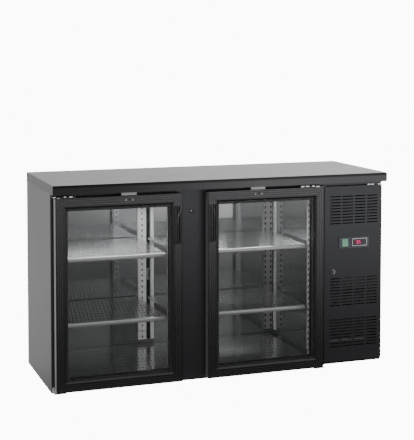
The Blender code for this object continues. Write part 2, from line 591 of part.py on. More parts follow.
def build_lock(name, lock_x, frame, group):
    """A lock barrel in the top rail, its turning cam in a slot behind it, and the striker over it."""
    centre = (lock_x, 0, LOCK_Z)
    slot_front, slot_back = CAM_FRONT - 0.0008, CAM_BACK + 0.0008
    bore = rod("Y", centre, LOCK_RADIUS + CLEAR, FRONT - CUT, slot_front + 0.0004)
    combine(frame, add_object(f"lock_bore_{name}_cut", bore, group=group))
    sweep = CAM_HALF * math.sqrt(2)
    slot = boxes((
        (lock_x - sweep, slot_front, LOCK_Z - sweep),
        (lock_x + CAM_REACH + 0.003, slot_back, DOOR_HIGH + CUT),
    ))
    combine(frame, add_object(f"cam_slot_{name}_cut", slot, group=group))
    ring = [
        (PLUG_RADIUS + 0.0004, FRONT + 0.0005), (LOCK_RADIUS, FRONT + 0.0005),
        (LOCK_RADIUS, slot_front - 0.0002), (PLUG_RADIUS + 0.0004, slot_front - 0.0002),
    ]
    add_object(f"lock_barrel_{name}", turned(ring, "Y", centre), "hinge_zinc", group, smooth=True)
    cam_group = axis_group(f"axis_lock_{name}", (lock_x, CAM_FRONT, LOCK_Z))
    plate = boxes((
        (lock_x - CAM_HALF, CAM_FRONT, LOCK_Z - CAM_HALF),
        (lock_x + CAM_REACH, CAM_BACK, LOCK_Z + CAM_HALF),
    ))
    cam = add_object(f"lock_cam_{name}", plate, "hinge_zinc", cam_group)
    plug = rod("Y", centre, PLUG_RADIUS, FRONT + 0.0008, CAM_FRONT + 0.001)
    combine(cam, add_object(f"lock_plug_{name}_join", plug, group=cam_group), "UNION")
    high, low = UNDER_TOP - 0.0005, DOOR_HIGH + 0.0015
    bends = [(BRACKET_REACH, low), (BRACKET_REACH, high), (BODY_FRONT - 0.006, high)]
    outline = folded(bends, -STRIKER_THICK)
    striker = prism(outline, "X", lock_x - STRIKER_HALF, lock_x + STRIKER_HALF)
    add_object(f"lock_striker_{name}", striker, "hinge_zinc")


def build_door_hinges(name, side, hinge_edge, pin_x):
    """The angle plates fixed to the body, each with a pin that the door turns on."""
    outer = hinge_edge + side * 0.008
    tab = (PLATE_BACK - PLATE_THICK, PLATE_BACK)
    over, under, pin_in = DOOR_HIGH + 0.0015, DOOR_LOW - 0.002, 0.010
    shapes = {
        "top": (0.090, over, UNDER_TOP - 0.0005, DOOR_HIGH - pin_in, over + 0.0015),
        "bottom": (0.048, under - PLATE_THICK, DOOR_LOW + 0.012, under - 0.002, DOOR_LOW + pin_in),
    }
    for end, (length, low, tab_high, pin_low, pin_high) in shapes.items():
        high = low + PLATE_THICK
        far = outer - side * length
        x_low, x_high = min(outer, far), max(outer, far)
        outline = [
            (BRACKET_REACH, low), (tab[1], low), (tab[1], tab_high),
            (tab[0], tab_high), (tab[0], high), (BRACKET_REACH, high),
        ]
        bracket = add_object(f"door_hinge_{name}_{end}", prism(outline, "X", x_low, x_high), "hinge_zinc")
        pin = rod("Z", (pin_x, PIN_Y, 0), PIN_RADIUS, pin_low, pin_high, 16)
        combine(bracket, add_object(f"hinge_pin_{name}_{end}_join", pin), "UNION")


# ---------------------------------------------------------------- service panel
def grille_slots():
    for lowest in GRILLE_GROUPS:
        for row in range(GRILLE_ROWS):
            z, half = lowest + GRILLE_PITCH * row, GRILLE_SLOT / 2
            for left, right in GRILLE_COLUMNS:
                yield ((left, PANEL_FRONT - 0.001, z - half), (right, PANEL_FRONT + 0.002, z + half))


def build_service_panel():
    group = axis_group("axis_service_panel", (*PANEL_PIN, 0))
    panel = add_object(
        "service_panel",
        boxes(((PANEL_LEFT, PANEL_FRONT, PANEL_LOW), (HALF_WIDTH, PANEL_BACK, PANEL_HIGH))),
        "cabinet_black",
        group,
    )
    wall = PANEL_SHEET
    tray = boxes((
        (PANEL_LEFT + wall, PANEL_FRONT + wall, PANEL_LOW + wall),
        (HALF_WIDTH - wall, PANEL_BACK + CUT, PANEL_HIGH - wall),
    ))
    combine(panel, add_object("panel_tray_cut", tray, group=group))
    combine(panel, add_object("panel_slots_cut", boxes(*grille_slots()), group=group))
    window = boxes((
        (PANEL_WINDOW_X[0], PANEL_FRONT - CUT, PANEL_WINDOW_Z[0]),
        (PANEL_WINDOW_X[1], PANEL_FRONT + 0.005, PANEL_WINDOW_Z[1]),
    ))
    combine(panel, add_object("panel_window_cut", window, group=group))
    latch_hole = rod("Y", (LATCH_X, PANEL_FRONT, LATCH_Z), LATCH_SHAFT + 0.0004, -CUT, 0.005)
    combine(panel, add_object("panel_latch_hole_cut", latch_hole, group=group))
    for end, flange in (("top", PANEL_HIGH), ("bottom", PANEL_LOW)):
        hole = rod("Z", (*PANEL_PIN, flange), PANEL_PIN_RADIUS + 0.0004, -0.004, 0.004, 16)
        combine(panel, add_object(f"panel_pin_hole_{end}_cut", hole, group=group))
    build_panel_hinges()
    build_controls(group)
    build_panel_latch()


def build_panel_hinges():
    gap, pin_in, thick = 0.0015, 0.0045, PANEL_PLATE_THICK
    over, under = PANEL_HIGH + gap, PANEL_LOW - gap - thick
    shapes = {
        "top": (over, PANEL_HIGH - pin_in, over + thick / 2),
        "bottom": (under, under + thick / 2, PANEL_LOW + pin_in),
    }
    for end, (low, pin_low, pin_high) in shapes.items():
        plate = boxes((
            (PANEL_PLATE_X[0], PANEL_PLATE_Y[0], low),
            (PANEL_PLATE_X[1], PANEL_PLATE_Y[1], low + thick),
        ))
        hinge = add_object(f"panel_hinge_{end}", plate, "hinge_zinc")
        pin = rod("Z", (*PANEL_PIN, 0), PANEL_PIN_RADIUS, pin_low, pin_high, 16)
        combine(hinge, add_object(f"panel_pin_{end}_join", pin), "UNION")


def build_controls(group):
    bezel = add_object(
        "control_bezel",
        boxes(((BEZEL_X[0], BEZEL_FRONT, BEZEL_Z[0]), (BEZEL_X[1], PANEL_FRONT - CLEAR, BEZEL_Z[1]))),
        "bezel_metal",
        group,
    )
    room, front, back = 0.0004, BEZEL_FRONT - CUT, PANEL_FRONT + CUT
    rocker_half = ROCKER_HALF_TALL + 0.0016
    windows = boxes(
        (
            (CONTROLLER_X[0] - room, front, CONTROLLER_Z[0] - room),
            (CONTROLLER_X[1] + room, back, CONTROLLER_Z[1] + room),
        ),
        (
            (ROCKER_X[0] - room, front, ROCKER_PIVOT[1] - rocker_half),
            (ROCKER_X[1] + room, back, ROCKER_PIVOT[1] + rocker_half),
        ),
    )
    combine(bezel, add_object("bezel_windows_cut", windows, group=group))
    body = boxes((
        (CONTROLLER_X[0], CONTROLLER_FRONT, CONTROLLER_Z[0]),
        (CONTROLLER_X[1], CONTROLLER_BACK, CONTROLLER_Z[1]),
    ))
    controller = add_object("controller_body", body, "black_plastic", group)
    for way, z in KEY_ZS.items():
        centre = (KEY_X, CONTROLLER_FRONT, z)
        well = rod("Y", centre, KEY_RADIUS + 0.0004, -CUT, 0.005, 16)
        combine(controller, add_object(f"key_well_{way}_cut", well, group=group))
        key_group = axis_group(f"axis_key_{way}", centre)
        proud, edge, deep = 0.0012, 0.0006, 0.0035
        profile = [
            (0, -proud), (KEY_RADIUS - edge, -proud), (KEY_RADIUS, edge - proud),
            (KEY_RADIUS, deep), (0, deep),
        ]
        cap = turned(profile, "Y", centre, 16)
        add_object(f"controller_key_{way}", cap, "key_grey", key_group, smooth=True)
    build_rocker()


def build_rocker():
    """The switch's rocker, with its top pressed in."""
    pivot_y, pivot_z = ROCKER_PIVOT
    tall, tilt = ROCKER_HALF_TALL, math.radians(-ROCKER_TILT)
    outline = [
        (-0.0075, tall), (-0.009, 0), (-0.0075, -tall), (0.0, -tall),
        (0.004, -0.010), (0.004, 0.010), (0.0, tall),
    ]
    turn = Matrix.Rotation(tilt, 2)
    placed = [turn @ Vector(point) + Vector((pivot_y, pivot_z)) for point in outline]
    group = axis_group("axis_rocker", (sum(ROCKER_X) / 2, pivot_y, pivot_z))
    add_object("rocker_switch", prism([tuple(p) for p in placed], "X", *ROCKER_X), "lit_green", group)


def build_panel_latch():
    centre = (LATCH_X, PANEL_FRONT, LATCH_Z)
    group = axis_group("axis_panel_latch", centre)
    profile = [
        (0, -0.0025), (LATCH_RADIUS - 0.001, -0.0025), (LATCH_RADIUS, -0.0015), (LATCH_RADIUS, -CLEAR),
        (LATCH_SHAFT, -CLEAR), (LATCH_SHAFT, LATCH_DEEP), (0, LATCH_DEEP),
    ]
    latch = add_object("panel_latch", turned(profile, "Y", centre), "hinge_zinc", group, smooth=True)
    arm_back = PANEL_FRONT + LATCH_DEEP + ARM_THICK
    arm = boxes((
        (LATCH_X - ARM_HALF, arm_back - ARM_THICK - 0.0005, LATCH_Z - LATCH_REACH),
        (LATCH_X + ARM_HALF, arm_back, LATCH_Z + ARM_HALF),
    ))
    combine(latch, add_object("latch_arm_join", arm, group=group), "UNION")


# ---------------------------------------------------------------- refrigeration unit
def build_unit():
    """The compressor on its plate, the condenser with its fan in a shroud, and the supply gland."""
    radius, seam = COMPRESSOR_RADIUS, COMPRESSOR_RADIUS + 0.003
    profile = [
        (0, 0), (radius * 0.8, 0), (radius, 0.012), (radius, 0.085), (seam, 0.087), (seam, 0.093),
        (radius, 0.095), (radius * 0.9, 0.145), (radius * 0.6, 0.165), (0, COMPRESSOR_HIGH),
    ]
    base = BASE_Z + PAN_THICK + CLEAR
    can = turned(profile, "Z", (BAY_CENTRE_X, COMPRESSOR_Y, base + 0.005), 24)
    compressor = add_object("compressor", can, "motor_black", smooth=True)
    half_wide, half_deep, thick = COMPRESSOR_PLATE
    plate = boxes((
        (BAY_CENTRE_X - half_wide, COMPRESSOR_Y - half_deep, base),
        (BAY_CENTRE_X + half_wide, COMPRESSOR_Y + half_deep, base + thick),
    ))
    combine(compressor, add_object("compressor_plate_join", plate), "UNION")
    fins = comb(*CONDENSER_X, *CONDENSER_Y, 19)
    add_object("condenser_coil", prism(fins, "Z", *CONDENSER_Z), "coil_metal")
    (left, right), (low, high) = CONDENSER_X, CONDENSER_Z
    front, wall = CONDENSER_Y[1] + 0.0015, 0.002
    box = boxes(((left, front, low), (right, SHROUD_BACK, high)))
    shroud = add_object("condenser_shroud", box, "cabinet_black")
    pocket = boxes((
        (left + wall, front + wall, low + wall), (right - wall, SHROUD_BACK + CUT, high - wall),
    ))
    combine(shroud, add_object("shroud_pocket_cut", pocket))
    hole_centre = (BAY_CENTRE_X, front, CONDENSER_FAN_Z)
    hole = rod("Y", hole_centre, CONDENSER_FAN_RADIUS + 0.005, -CUT, CUT, 32)
    combine(shroud, add_object("shroud_hole_cut", hole))
    fan_centre = (BAY_CENTRE_X, CONDENSER_FAN_Y, CONDENSER_FAN_Z)
    build_rotor("condenser_fan", "Y", fan_centre, CONDENSER_FAN_RADIUS, CONDENSER_HUB)
    gland = [
        (GLAND_BORE, -0.0015), (GLAND_NECK, -0.0015), (GLAND_NECK, -0.0130),
        (GLAND_NUT, -0.0135), (GLAND_NUT, -0.0190), (GLAND_BORE, -0.0190),
    ]
    ring = turned(gland, "Y", (GLAND[0], BACK, GLAND[1]), 20)
    add_object("cord_gland", ring, "black_plastic", smooth=True)


def main():
    build_worktop()
    build_shell()
    build_insulation()
    build_front_frame()
    build_feet()
    build_shelves()
    build_uprights()
    build_evaporator()
    build_door(-1)
    build_door(1)
    build_service_panel()
    build_unit()


clear_scene()
MATERIALS = make_materials()
main()
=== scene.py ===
import math

import bmesh
import bpy
from mathutils import Matrix, Vector


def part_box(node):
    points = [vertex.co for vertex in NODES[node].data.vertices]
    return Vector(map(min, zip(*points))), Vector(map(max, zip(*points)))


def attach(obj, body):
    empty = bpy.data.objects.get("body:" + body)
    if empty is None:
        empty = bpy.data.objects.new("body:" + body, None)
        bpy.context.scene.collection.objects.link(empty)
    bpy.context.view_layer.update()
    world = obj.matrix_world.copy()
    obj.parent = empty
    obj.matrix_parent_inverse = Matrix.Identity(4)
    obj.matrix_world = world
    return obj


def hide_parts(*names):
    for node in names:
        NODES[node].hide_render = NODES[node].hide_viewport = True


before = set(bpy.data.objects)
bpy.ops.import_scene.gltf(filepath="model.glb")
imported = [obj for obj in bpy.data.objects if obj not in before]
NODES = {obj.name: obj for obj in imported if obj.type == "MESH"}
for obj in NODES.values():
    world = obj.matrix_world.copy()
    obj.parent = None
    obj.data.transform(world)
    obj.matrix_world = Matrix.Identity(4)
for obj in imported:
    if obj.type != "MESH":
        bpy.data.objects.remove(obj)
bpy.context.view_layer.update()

SIDES = ("left", "right")
LEVELS = ("upper", "lower")
AXIS_TURN = {
    "X": Matrix.Rotation(math.radians(90), 4, "Y"),
    "Y": Matrix.Rotation(math.radians(-90), 4, "X"),
    "Z": Matrix.Identity(4),
}


# ------------------------ camera
LENS, SENSOR_WIDTH, SHIFT_Y, CLIP_END = 96.331, 36, -0.25, 100
CAMERA_PLACE = (-1.6893, -4.7572, 1.4133)
CAMERA_TILT, CAMERA_TURN = -3.23, -19.564


def make_camera():
    data = bpy.data.cameras.new("camera")
    data.lens, data.sensor_width, data.shift_y = LENS, SENSOR_WIDTH, SHIFT_Y
    data.dof.use_dof = False
    data.clip_end = CLIP_END
    camera = bpy.data.objects.new("camera", data)
    camera.location = CAMERA_PLACE
    camera.rotation_euler = (math.radians(90 + CAMERA_TILT), 0, math.radians(CAMERA_TURN))
    bpy.context.scene.collection.objects.link(camera)
    bpy.context.scene.camera = camera


# ------------------------ surroundings, floor and light
# The camera sees even white. Light and reflections see the curves of (place, brightness): along the
# three parts of a direction for the surroundings, and in metres across the floor.
WHITE_OUT = 11.0
WORLD_SPAN = (-1, 1)
WORLD_WIDTH = ((-1, 1.2), (0, 0.8), (0.2, 0.84), (0.45, 1.42), (1, 1.2))
WORLD_DEPTH = ((-1, 0.22), (-0.3, 0.30), (0.3, 0.85), (1, 1.02))
WORLD_HEIGHT = ((-1, 1.0), (0.3, 1.0), (0.55, 2.4), (1, 2.0))
FLOOR_HALF = 30
FLOOR_WIDTH_SPAN, FLOOR_DEPTH_SPAN = (-4, 4), (-8, 2)
FLOOR_WIDTH = ((-2, 0.6), (-0.6, 0.72), (0.3, 0.48), (0.6, 0.66), (1.1, 1.15), (1.6, 1.9), (3, 2.3))
FLOOR_DEPTH = (
    (-8, 0.90), (-5, 0.75), (-3.6, 0.50), (-2.5, 0.30), (-1.6, 0.17),
    (-1.0, 0.10), (-0.5, 0.08), (0.4, 0.8), (2, 1.0),
)
# Each light: place, aim, width and height, watts, and whether reflections show it.
LIGHTS = {
    "key": ((-3.0, -0.6, 2.4), (0, 0, 0.4), (1.6, 1.6), 60, True),
    "top": ((0.6, 0.6, 3.2), (0, 0, 0.5), (3.0, 1.6), 60, True),
    "lamp_glow": ((-0.144, -0.150, 0.755), (-0.144, 0.20, 0.3), (0.90, 0.02), 1.9, True),
    "front_fill": ((-1.2, -3.6, 0.8), (0, 0, 0.35), (1.6, 0.9), 40, False),
    "room_fill": ((-0.02, 0.205, 0.42), (-0.02, -0.20, 0.42), (0.7, 0.5), 0.7, False),
    "wall_glow_upper": ((0.06, -0.13, 0.46), (0.10, 0.22, 0.51), (0.12, 0.04), 0.9, False),
    "wall_glow_lower": ((0.06, -0.13, 0.20), (0.10, 0.22, 0.25), (0.12, 0.04), 0.9, False),
}


def make_world():
    """A studio that is bright behind the object and above it, and darker in front."""
    world = bpy.data.worlds.new("studio")
    bpy.context.scene.world = world
    world.use_nodes = True
    tree = world.node_tree
    x, y, z = axes_of(tree, "Generated")
    width = curve_of(tree, x, WORLD_SPAN, WORLD_WIDTH)
    depth = curve_of(tree, y, WORLD_SPAN, WORLD_DEPTH)
    height = curve_of(tree, z, WORLD_SPAN, WORLD_HEIGHT)
    shine = tree.nodes["Background"]
    white = tree.nodes.new("ShaderNodeBackground")
    for background in (shine, white):
        background.inputs["Color"].default_value = (1, 1, 1, 1)
    tree.links.new(product(tree, product(tree, depth, width), height), shine.inputs["Strength"])
    white.inputs["Strength"].default_value = WHITE_OUT
    blend_for_camera(tree, shine, white, tree.nodes["World Output"])


def make_floor():
    made = bmesh.new()
    bmesh.ops.create_grid(made, x_segments=1, y_segments=1, size=FLOOR_HALF)
    floor = object_from("studio_floor", made)
    floor.data.materials.append(floor_material())


def floor_material():
    """A pale floor: evenly white to the camera, and darker in front in reflections."""
    material = bpy.data.materials.new("floor_white")
    material.use_nodes = True
    tree = material.node_tree
    x, y, _ = axes_of(tree, "Object")
    depth = curve_of(tree, y, FLOOR_DEPTH_SPAN, FLOOR_DEPTH)
    width = curve_of(tree, x, FLOOR_WIDTH_SPAN, FLOOR_WIDTH)
    shine = tree.nodes.new("ShaderNodeEmission")
    tree.links.new(product(tree, depth, width), shine.inputs["Strength"])
    white = tree.nodes.new("ShaderNodeEmission")
    white.inputs["Strength"].default_value = WHITE_OUT
    blend_for_camera(tree, shine, white, tree.nodes["Material Output"])
    return material


def make_lights():
    for name, (place, aim, size, watts, in_reflections) in LIGHTS.items():
        data = bpy.data.lights.new(name, "AREA")
        data.shape, data.energy = "RECTANGLE", watts
        data.size, data.size_y = size
        light = bpy.data.objects.new(name, data)
        light.location = place
        light.rotation_euler = (Vector(aim) - Vector(place)).to_track_quat("-Z", "Y").to_euler()
        bpy.context.scene.collection.objects.link(light)
        if not in_reflections:
            light.visible_glossy = light.visible_camera = False


# ------------------------ node helpers
def axes_of(tree, space):
    """The X, Y and Z of a coordinate space."""
    coords = tree.nodes.new("ShaderNodeTexCoord")
    split = tree.nodes.new("ShaderNodeSeparateXYZ")
    tree.links.new(coords.outputs[space], split.inputs[0])
    return list(split.outputs)


def curve_of(tree, source, span, stops):
    """The value that the stops give for the source: (place, value), straight between them."""
    scale = tree.nodes.new("ShaderNodeMapRange")
    scale.inputs["From Min"].default_value, scale.inputs["From Max"].default_value = span
    ramp = tree.nodes.new("ShaderNodeValToRGB")
    elements = ramp.color_ramp.elements
    while len(elements) < len(stops):
        elements.new(0.5)
    for element, (place, value) in zip(elements, stops):
        element.position, element.color = (place - span[0]) / (span[1] - span[0]), (value, value, value, 1)
    tree.links.new(source, scale.inputs["Value"])
    tree.links.new(scale.outputs["Result"], ramp.inputs["Fac"])
    return ramp.outputs["Color"]


def product(tree, first, second):
    times = tree.nodes.new("ShaderNodeMath")
    times.operation = "MULTIPLY"
    tree.links.new(first, times.inputs[0])
    tree.links.new(second, times.inputs[1])
    return times.outputs[0]


def noise_over(tree, detail, scale=5.0, stretch=(1, 1, 1)):
    """Noise over the object's own coordinates, with its grain stretched along each axis."""
    coords = tree.nodes.new("ShaderNodeTexCoord")
    mapping = tree.nodes.new("ShaderNodeMapping")
    mapping.inputs["Scale"].default_value = stretch
    noise = tree.nodes.new("ShaderNodeTexNoise")
    noise.inputs["Scale"].default_value = scale
    noise.inputs["Detail"].default_value = detail
    tree.links.new(coords.outputs["Object"], mapping.inputs["Vector"])
    tree.links.new(mapping.outputs["Vector"], noise.inputs["Vector"])
    return noise.outputs["Fac"]


def blend_for_camera(tree, others, camera, output):
    path = tree.nodes.new("ShaderNodeLightPath")
    mix = tree.nodes.new("ShaderNodeMixShader")
    tree.links.new(path.outputs["Is Camera Ray"], mix.inputs["Fac"])
    tree.links.new(others.outputs[0], mix.inputs[1])
    tree.links.new(camera.outputs[0], mix.inputs[2])
    tree.links.new(mix.outputs[0], output.inputs["Surface"])


# ------------------------ materials
FINE_SCALE, FINE_DETAIL, BROAD_SCALE, BROAD_DETAIL = 8.0, 5.0, 2.2, 3.0
SMOOTHEST = 0.02
# The worktop's front edge, measured back, down and along: painted shade that turns it black, with a lighter
# lower part and darker towards the left, in place of the edge's dark reflection.
EDGE_SHADE_DEEP, EDGE_SHADE_FADE, BACK_SPAN, DOWN_SPAN, ALONG_SPAN = 0.0020, 0.0008, 0.01, 0.05, (-0.75, 0.75)
EDGE_SHADE_DOWN = ((0.013, 0.62), (0.009, 0.22))
EDGE_SHADE_ALONG = ((-0.5, 0.42), (-0.15, 0.72), (0.15, 1.05), (0.6, 0.95))
STREAK_STRETCH, STREAK_DETAIL, STREAK_TINT = (1.6, 17, 1), 5, ((0.35, 0.78), (0.65, 0.95))


def plain_material(name, colour, roughness, metallic=0.0, **settings):
    material = bpy.data.materials.new(name)
    material.use_nodes = True
    shader = material.node_tree.nodes["Principled BSDF"]
    shader.inputs["Base Color"].default_value = (*colour, 1)
    shader.inputs["Roughness"].default_value = roughness
    shader.inputs["Metallic"].default_value = metallic
    for key, value in settings.items():
        shader.inputs[key.replace("_", " ")].default_value = value
    return material


def textured_material(name, colour, roughness, metallic=0.0, tone=0.12, rough_swing=0.06,
                      grain=(60, 60, 60), grain_bump=0.02, bump_size=0.0002, **settings):
    """A surface with a fine grain: colour and roughness vary together, and the height with them."""
    material = plain_material(name, colour, roughness, metallic, **settings)
    nodes, links = material.node_tree.nodes, material.node_tree.links
    shader = nodes["Principled BSDF"]
    fine = noise_over(material.node_tree, FINE_DETAIL, FINE_SCALE, grain)
    broad = noise_over(material.node_tree, BROAD_DETAIL, BROAD_SCALE)
    mean = nodes.new("ShaderNodeMix")
    mean.inputs["Factor"].default_value = 0.5
    links.new(fine, mean.inputs["A"])
    links.new(broad, mean.inputs["B"])
    shades = nodes.new("ShaderNodeMix")
    shades.data_type = "RGBA"
    shades.inputs["A"].default_value = (*[c * (1 - tone) for c in colour], 1)
    shades.inputs["B"].default_value = (*[min(1, c * (1 + tone)) for c in colour], 1)
    links.new(mean.outputs["Result"], shades.inputs["Factor"])
    links.new(shades.outputs["Result"], shader.inputs["Base Color"])
    rough = nodes.new("ShaderNodeMapRange")
    rough.inputs["To Min"].default_value = max(SMOOTHEST, roughness - rough_swing)
    rough.inputs["To Max"].default_value = min(1.0, roughness + rough_swing)
    links.new(mean.outputs["Result"], rough.inputs["Value"])
    links.new(rough.outputs["Result"], shader.inputs["Roughness"])
    if grain_bump:
        bump = nodes.new("ShaderNodeBump")
        bump.inputs["Strength"].default_value = grain_bump
        bump.inputs["Distance"].default_value = bump_size
        links.new(fine, bump.inputs["Height"])
        links.new(bump.outputs["Normal"], shader.inputs["Normal"])
    return material


def worktop_material():
    """A satin coated sheet with long faint streaks, and painted shade that darkens its front edge to black.
    """
    material = textured_material(
        "worktop_coat", (0.125, 0.125, 0.13), 0.24, 0.85, grain=(3, 70, 70), tone=0.14,
    )
    tree = material.node_tree
    shader = tree.nodes["Principled BSDF"]
    colour = shader.inputs["Base Color"].links[0].from_socket
    low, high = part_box("worktop")
    x, y, z = axes_of(tree, "Object")
    fade = ((low.y + EDGE_SHADE_DEEP, 0), (low.y + EDGE_SHADE_DEEP + EDGE_SHADE_FADE, 1))
    steps = [(high.z - drop, value) for drop, value in EDGE_SHADE_DOWN]
    back = curve_of(tree, y, (low.y, low.y + BACK_SPAN), fade)
    down = curve_of(tree, z, (high.z - DOWN_SPAN, high.z), steps)
    along = curve_of(tree, x, ALONG_SPAN, EDGE_SHADE_ALONG)
    # Painted shade: the colour of the front edge is multiplied down here.
    edge_shade = tree.nodes.new("ShaderNodeMix")
    edge_shade.inputs["B"].default_value = 1.0
    tree.links.new(back, edge_shade.inputs["Factor"])
    tree.links.new(product(tree, down, along), edge_shade.inputs["A"])
    mix = tree.nodes.new("ShaderNodeMix")
    mix.data_type, mix.blend_type = "RGBA", "MULTIPLY"
    mix.inputs["Factor"].default_value = 1.0
    tree.links.new(colour, mix.inputs["A"])
    tree.links.new(edge_shade.outputs["Result"], mix.inputs["B"])
    tree.links.new(mix.outputs["Result"], shader.inputs["Base Color"])
    streaks = noise_over(tree, STREAK_DETAIL, stretch=STREAK_STRETCH)
    tree.links.new(curve_of(tree, streaks, (0, 1), STREAK_TINT), shader.inputs["Specular Tint"])
    return material


def make_materials():
    return {
        "worktop": worktop_material(),
        "body": textured_material(
            "powder_black", (0.066, 0.067, 0.072), 0.32, 0.65, grain=(90, 90, 90), grain_bump=0.06,
        ),
        "frame": textured_material(
            "extrusion_black", (0.063, 0.0635, 0.066), 0.26, 0.80, grain=(4, 40, 4), grain_bump=0.03,
        ),
        # The same black coat, made much lighter: painted light for the side panels lit from the left.
        "side": textured_material(
            "side_coat_painted_light", (0.18, 0.18, 0.18), 0.34, 0.8, grain=(90, 90, 6), tone=0.06, grain_bump=0.05,
        ),
        "mirror": textured_material(
            "bright_sheet", (0.62, 0.63, 0.635), 0.05, 0.94, grain=(2, 2, 2), tone=0.05,
            rough_swing=0.015, grain_bump=0,
        ),
        "shelf": textured_material(
            "shelf_sheet", (0.76, 0.77, 0.775), 0.20, 0.86, grain=(3, 30, 30), tone=0.06,
            rough_swing=0.03, grain_bump=0,
        ),
        # The shelf steel again, a little lighter: painted light on the front lips, which are also rougher and
        # less metallic.
        "lip": textured_material(
            "lip_sheet_painted_light", (0.86, 0.87, 0.875), 0.24, 0.70, grain=(30, 3, 3), tone=0.04, grain_bump=0,
        ),
        "upright": textured_material(
            "upright_sheet", (0.86, 0.86, 0.87), 0.36, 0.25, grain=(30, 30, 3), tone=0.04,
        ),
        "groove": textured_material(
            "groove_sheen", (0.20, 0.20, 0.21), 0.30, 0.9, grain=(40, 40, 40), tone=0.05,
        ),
        "lock": textured_material("lock_chrome", (0.42, 0.42, 0.43), 0.14, 1.0, tone=0.05),
        "skin": textured_material("inner_skin", (0.62, 0.62, 0.63), 0.35, 0.3, grain=(20, 20, 20), tone=0.05),
        "trim": textured_material("edge_trim", (0.50, 0.50, 0.51), 0.32, 0.85, grain=(40, 40, 4), tone=0.05),
        "pocket": textured_material(
            "pocket_black", (0.010, 0.010, 0.011), 0.30, grain=(80, 80, 80), grain_bump=0.04,
        ),
        # The zinc plate again, much darker: painted shade for the top door hinges and the panel hinges in the
        # shade under the worktop; the lock barrels use it too.
        "shaded_zinc": textured_material(
            "zinc_painted_shade", (0.16, 0.16, 0.165), 0.30, 0.9, grain=(50, 50, 50), tone=0.06,
        ),
        "striker": textured_material(
            "striker_plate", (0.36, 0.355, 0.345), 0.30, 0.8, grain=(50, 50, 50), tone=0.06,
        ),
        "zinc": textured_material("zinc_plate", (0.86, 0.87, 0.88), 0.24, 0.8, grain=(50, 50, 50), tone=0.06),
        "foam": textured_material(
            "foam_cream", (0.72, 0.63, 0.40), 0.9, grain=(40, 40, 40), tone=0.15, grain_bump=0.4,
        ),
        "rubber": textured_material(
            "gasket_black", (0.030, 0.030, 0.030), 0.55, grain=(80, 80, 80), tone=0.2,
        ),
        "plastic": textured_material(
            "plastic_black", (0.030, 0.030, 0.032), 0.32, grain=(150, 150, 150), grain_bump=0.05,
            Specular_IOR_Level=0.9,
        ),
        "bezel": textured_material(
            "bezel_grey", (0.115, 0.112, 0.14), 0.36, 0.5, grain=(80, 80, 80), tone=0.08,
        ),
        "green": textured_material(
            "switch_green", (0.19, 0.44, 0.27), 0.30, tone=0.10,
            Emission_Color=(0.35, 0.75, 0.50, 1), Emission_Strength=0.16,
        ),
        "key": textured_material("key_grey", (0.16, 0.16, 0.17), 0.5, grain=(90, 90, 90), tone=0.1),
        "lamp": plain_material(
            "lamp_opal", (0.9, 0.9, 0.88), 0.4, Emission_Color=(1, 0.98, 0.95, 1), Emission_Strength=3.0,
        ),
        "motor": textured_material("motor_paint", (0.014, 0.014, 0.015), 0.30, grain=(30, 30, 30), tone=0.1),
        "fins": textured_material(
            "fin_stock", (0.22, 0.22, 0.22), 0.42, 1.0, grain=(3, 30, 80), tone=0.25, rough_swing=0.1,
        ),
        "copper": textured_material(
            "copper_tube", (0.72, 0.36, 0.20), 0.32, 1.0, grain=(20, 20, 20), tone=0.15,
        ),
        # Flat black for painted shade: in holes, slots, gaps and recesses.
        "dark": plain_material("painted_shade_black", (0.006, 0.006, 0.006), 0.8),
        "glass": plain_material("pane_clear", (0.02, 0.024, 0.023), 0.02, Alpha=0.08, Specular_IOR_Level=1.0),
        "spacer": textured_material("spacer_bar", (0.048, 0.048, 0.050), 0.50, 0.2, tone=0.06),
        "display": plain_material(
            "display_window", (0.03, 0.012, 0.018), 0.12, Emission_Color=(0.55, 0.06, 0.22, 1),
            Emission_Strength=0.12,
        ),
        "digit": plain_material(
            "display_digit", (0.7, 0.05, 0.2), 0.4, Emission_Color=(1.0, 0.06, 0.26, 1),
            Emission_Strength=1.6,
        ),
    }


# ------------------------ mesh helpers
def object_from(name, made, material=None, body=None, smooth=False, recalc=True):
    if recalc:
        bmesh.ops.recalc_face_normals(made, faces=made.faces)
    mesh = bpy.data.meshes.new(name)
    made.to_mesh(mesh)
    made.free()
    if smooth:
        mesh.shade_smooth()
        mesh.set_sharp_from_angle(angle=math.radians(35))
    obj = bpy.data.objects.new(name, mesh)
    bpy.context.scene.collection.objects.link(obj)
    if material:
        mesh.materials.append(MATERIALS[material])
    if body:
        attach(obj, body)
    return obj


def add_box(made, low, high):
    corners = bmesh.ops.create_cube(made, size=1)["verts"]
    size, middle = Vector(high) - Vector(low), (Vector(high) + Vector(low)) / 2
    bmesh.ops.scale(made, vec=size, verts=corners)
    bmesh.ops.translate(made, vec=middle, verts=corners)


def box_piece(name, boxes, material, body, bevel=0.0004):
    made = bmesh.new()
    for low, high in boxes:
        add_box(made, low, high)
    obj = object_from(name, made, material, body)
    add_bevel(obj, bevel)
    return obj


def add_bevel(obj, width, segments=2):
    modifier = obj.modifiers.new("soft_edges", "BEVEL")
    modifier.width, modifier.segments = width, segments
    modifier.limit_method, modifier.angle_limit = "ANGLE", math.radians(40)
    modifier.harden_normals = False


def add_prism(made, outline, start, end, axis="X"):
    """An outline in the two other directions, drawn out along the axis."""
    place = {
        "X": lambda u, v, w: (w, u, v),
        "Y": lambda u, v, w: (u, w, v),
        "Z": lambda u, v, w: (u, v, w),
    }[axis]
    first = [made.verts.new(place(u, v, start)) for u, v in outline]
    last = [made.verts.new(place(u, v, end)) for u, v in outline]
    count = len(outline)
    made.faces.new(first)
    made.faces.new(last)
    for i in range(count):
        j = (i + 1) % count
        made.faces.new([first[i], first[j], last[j], last[i]])


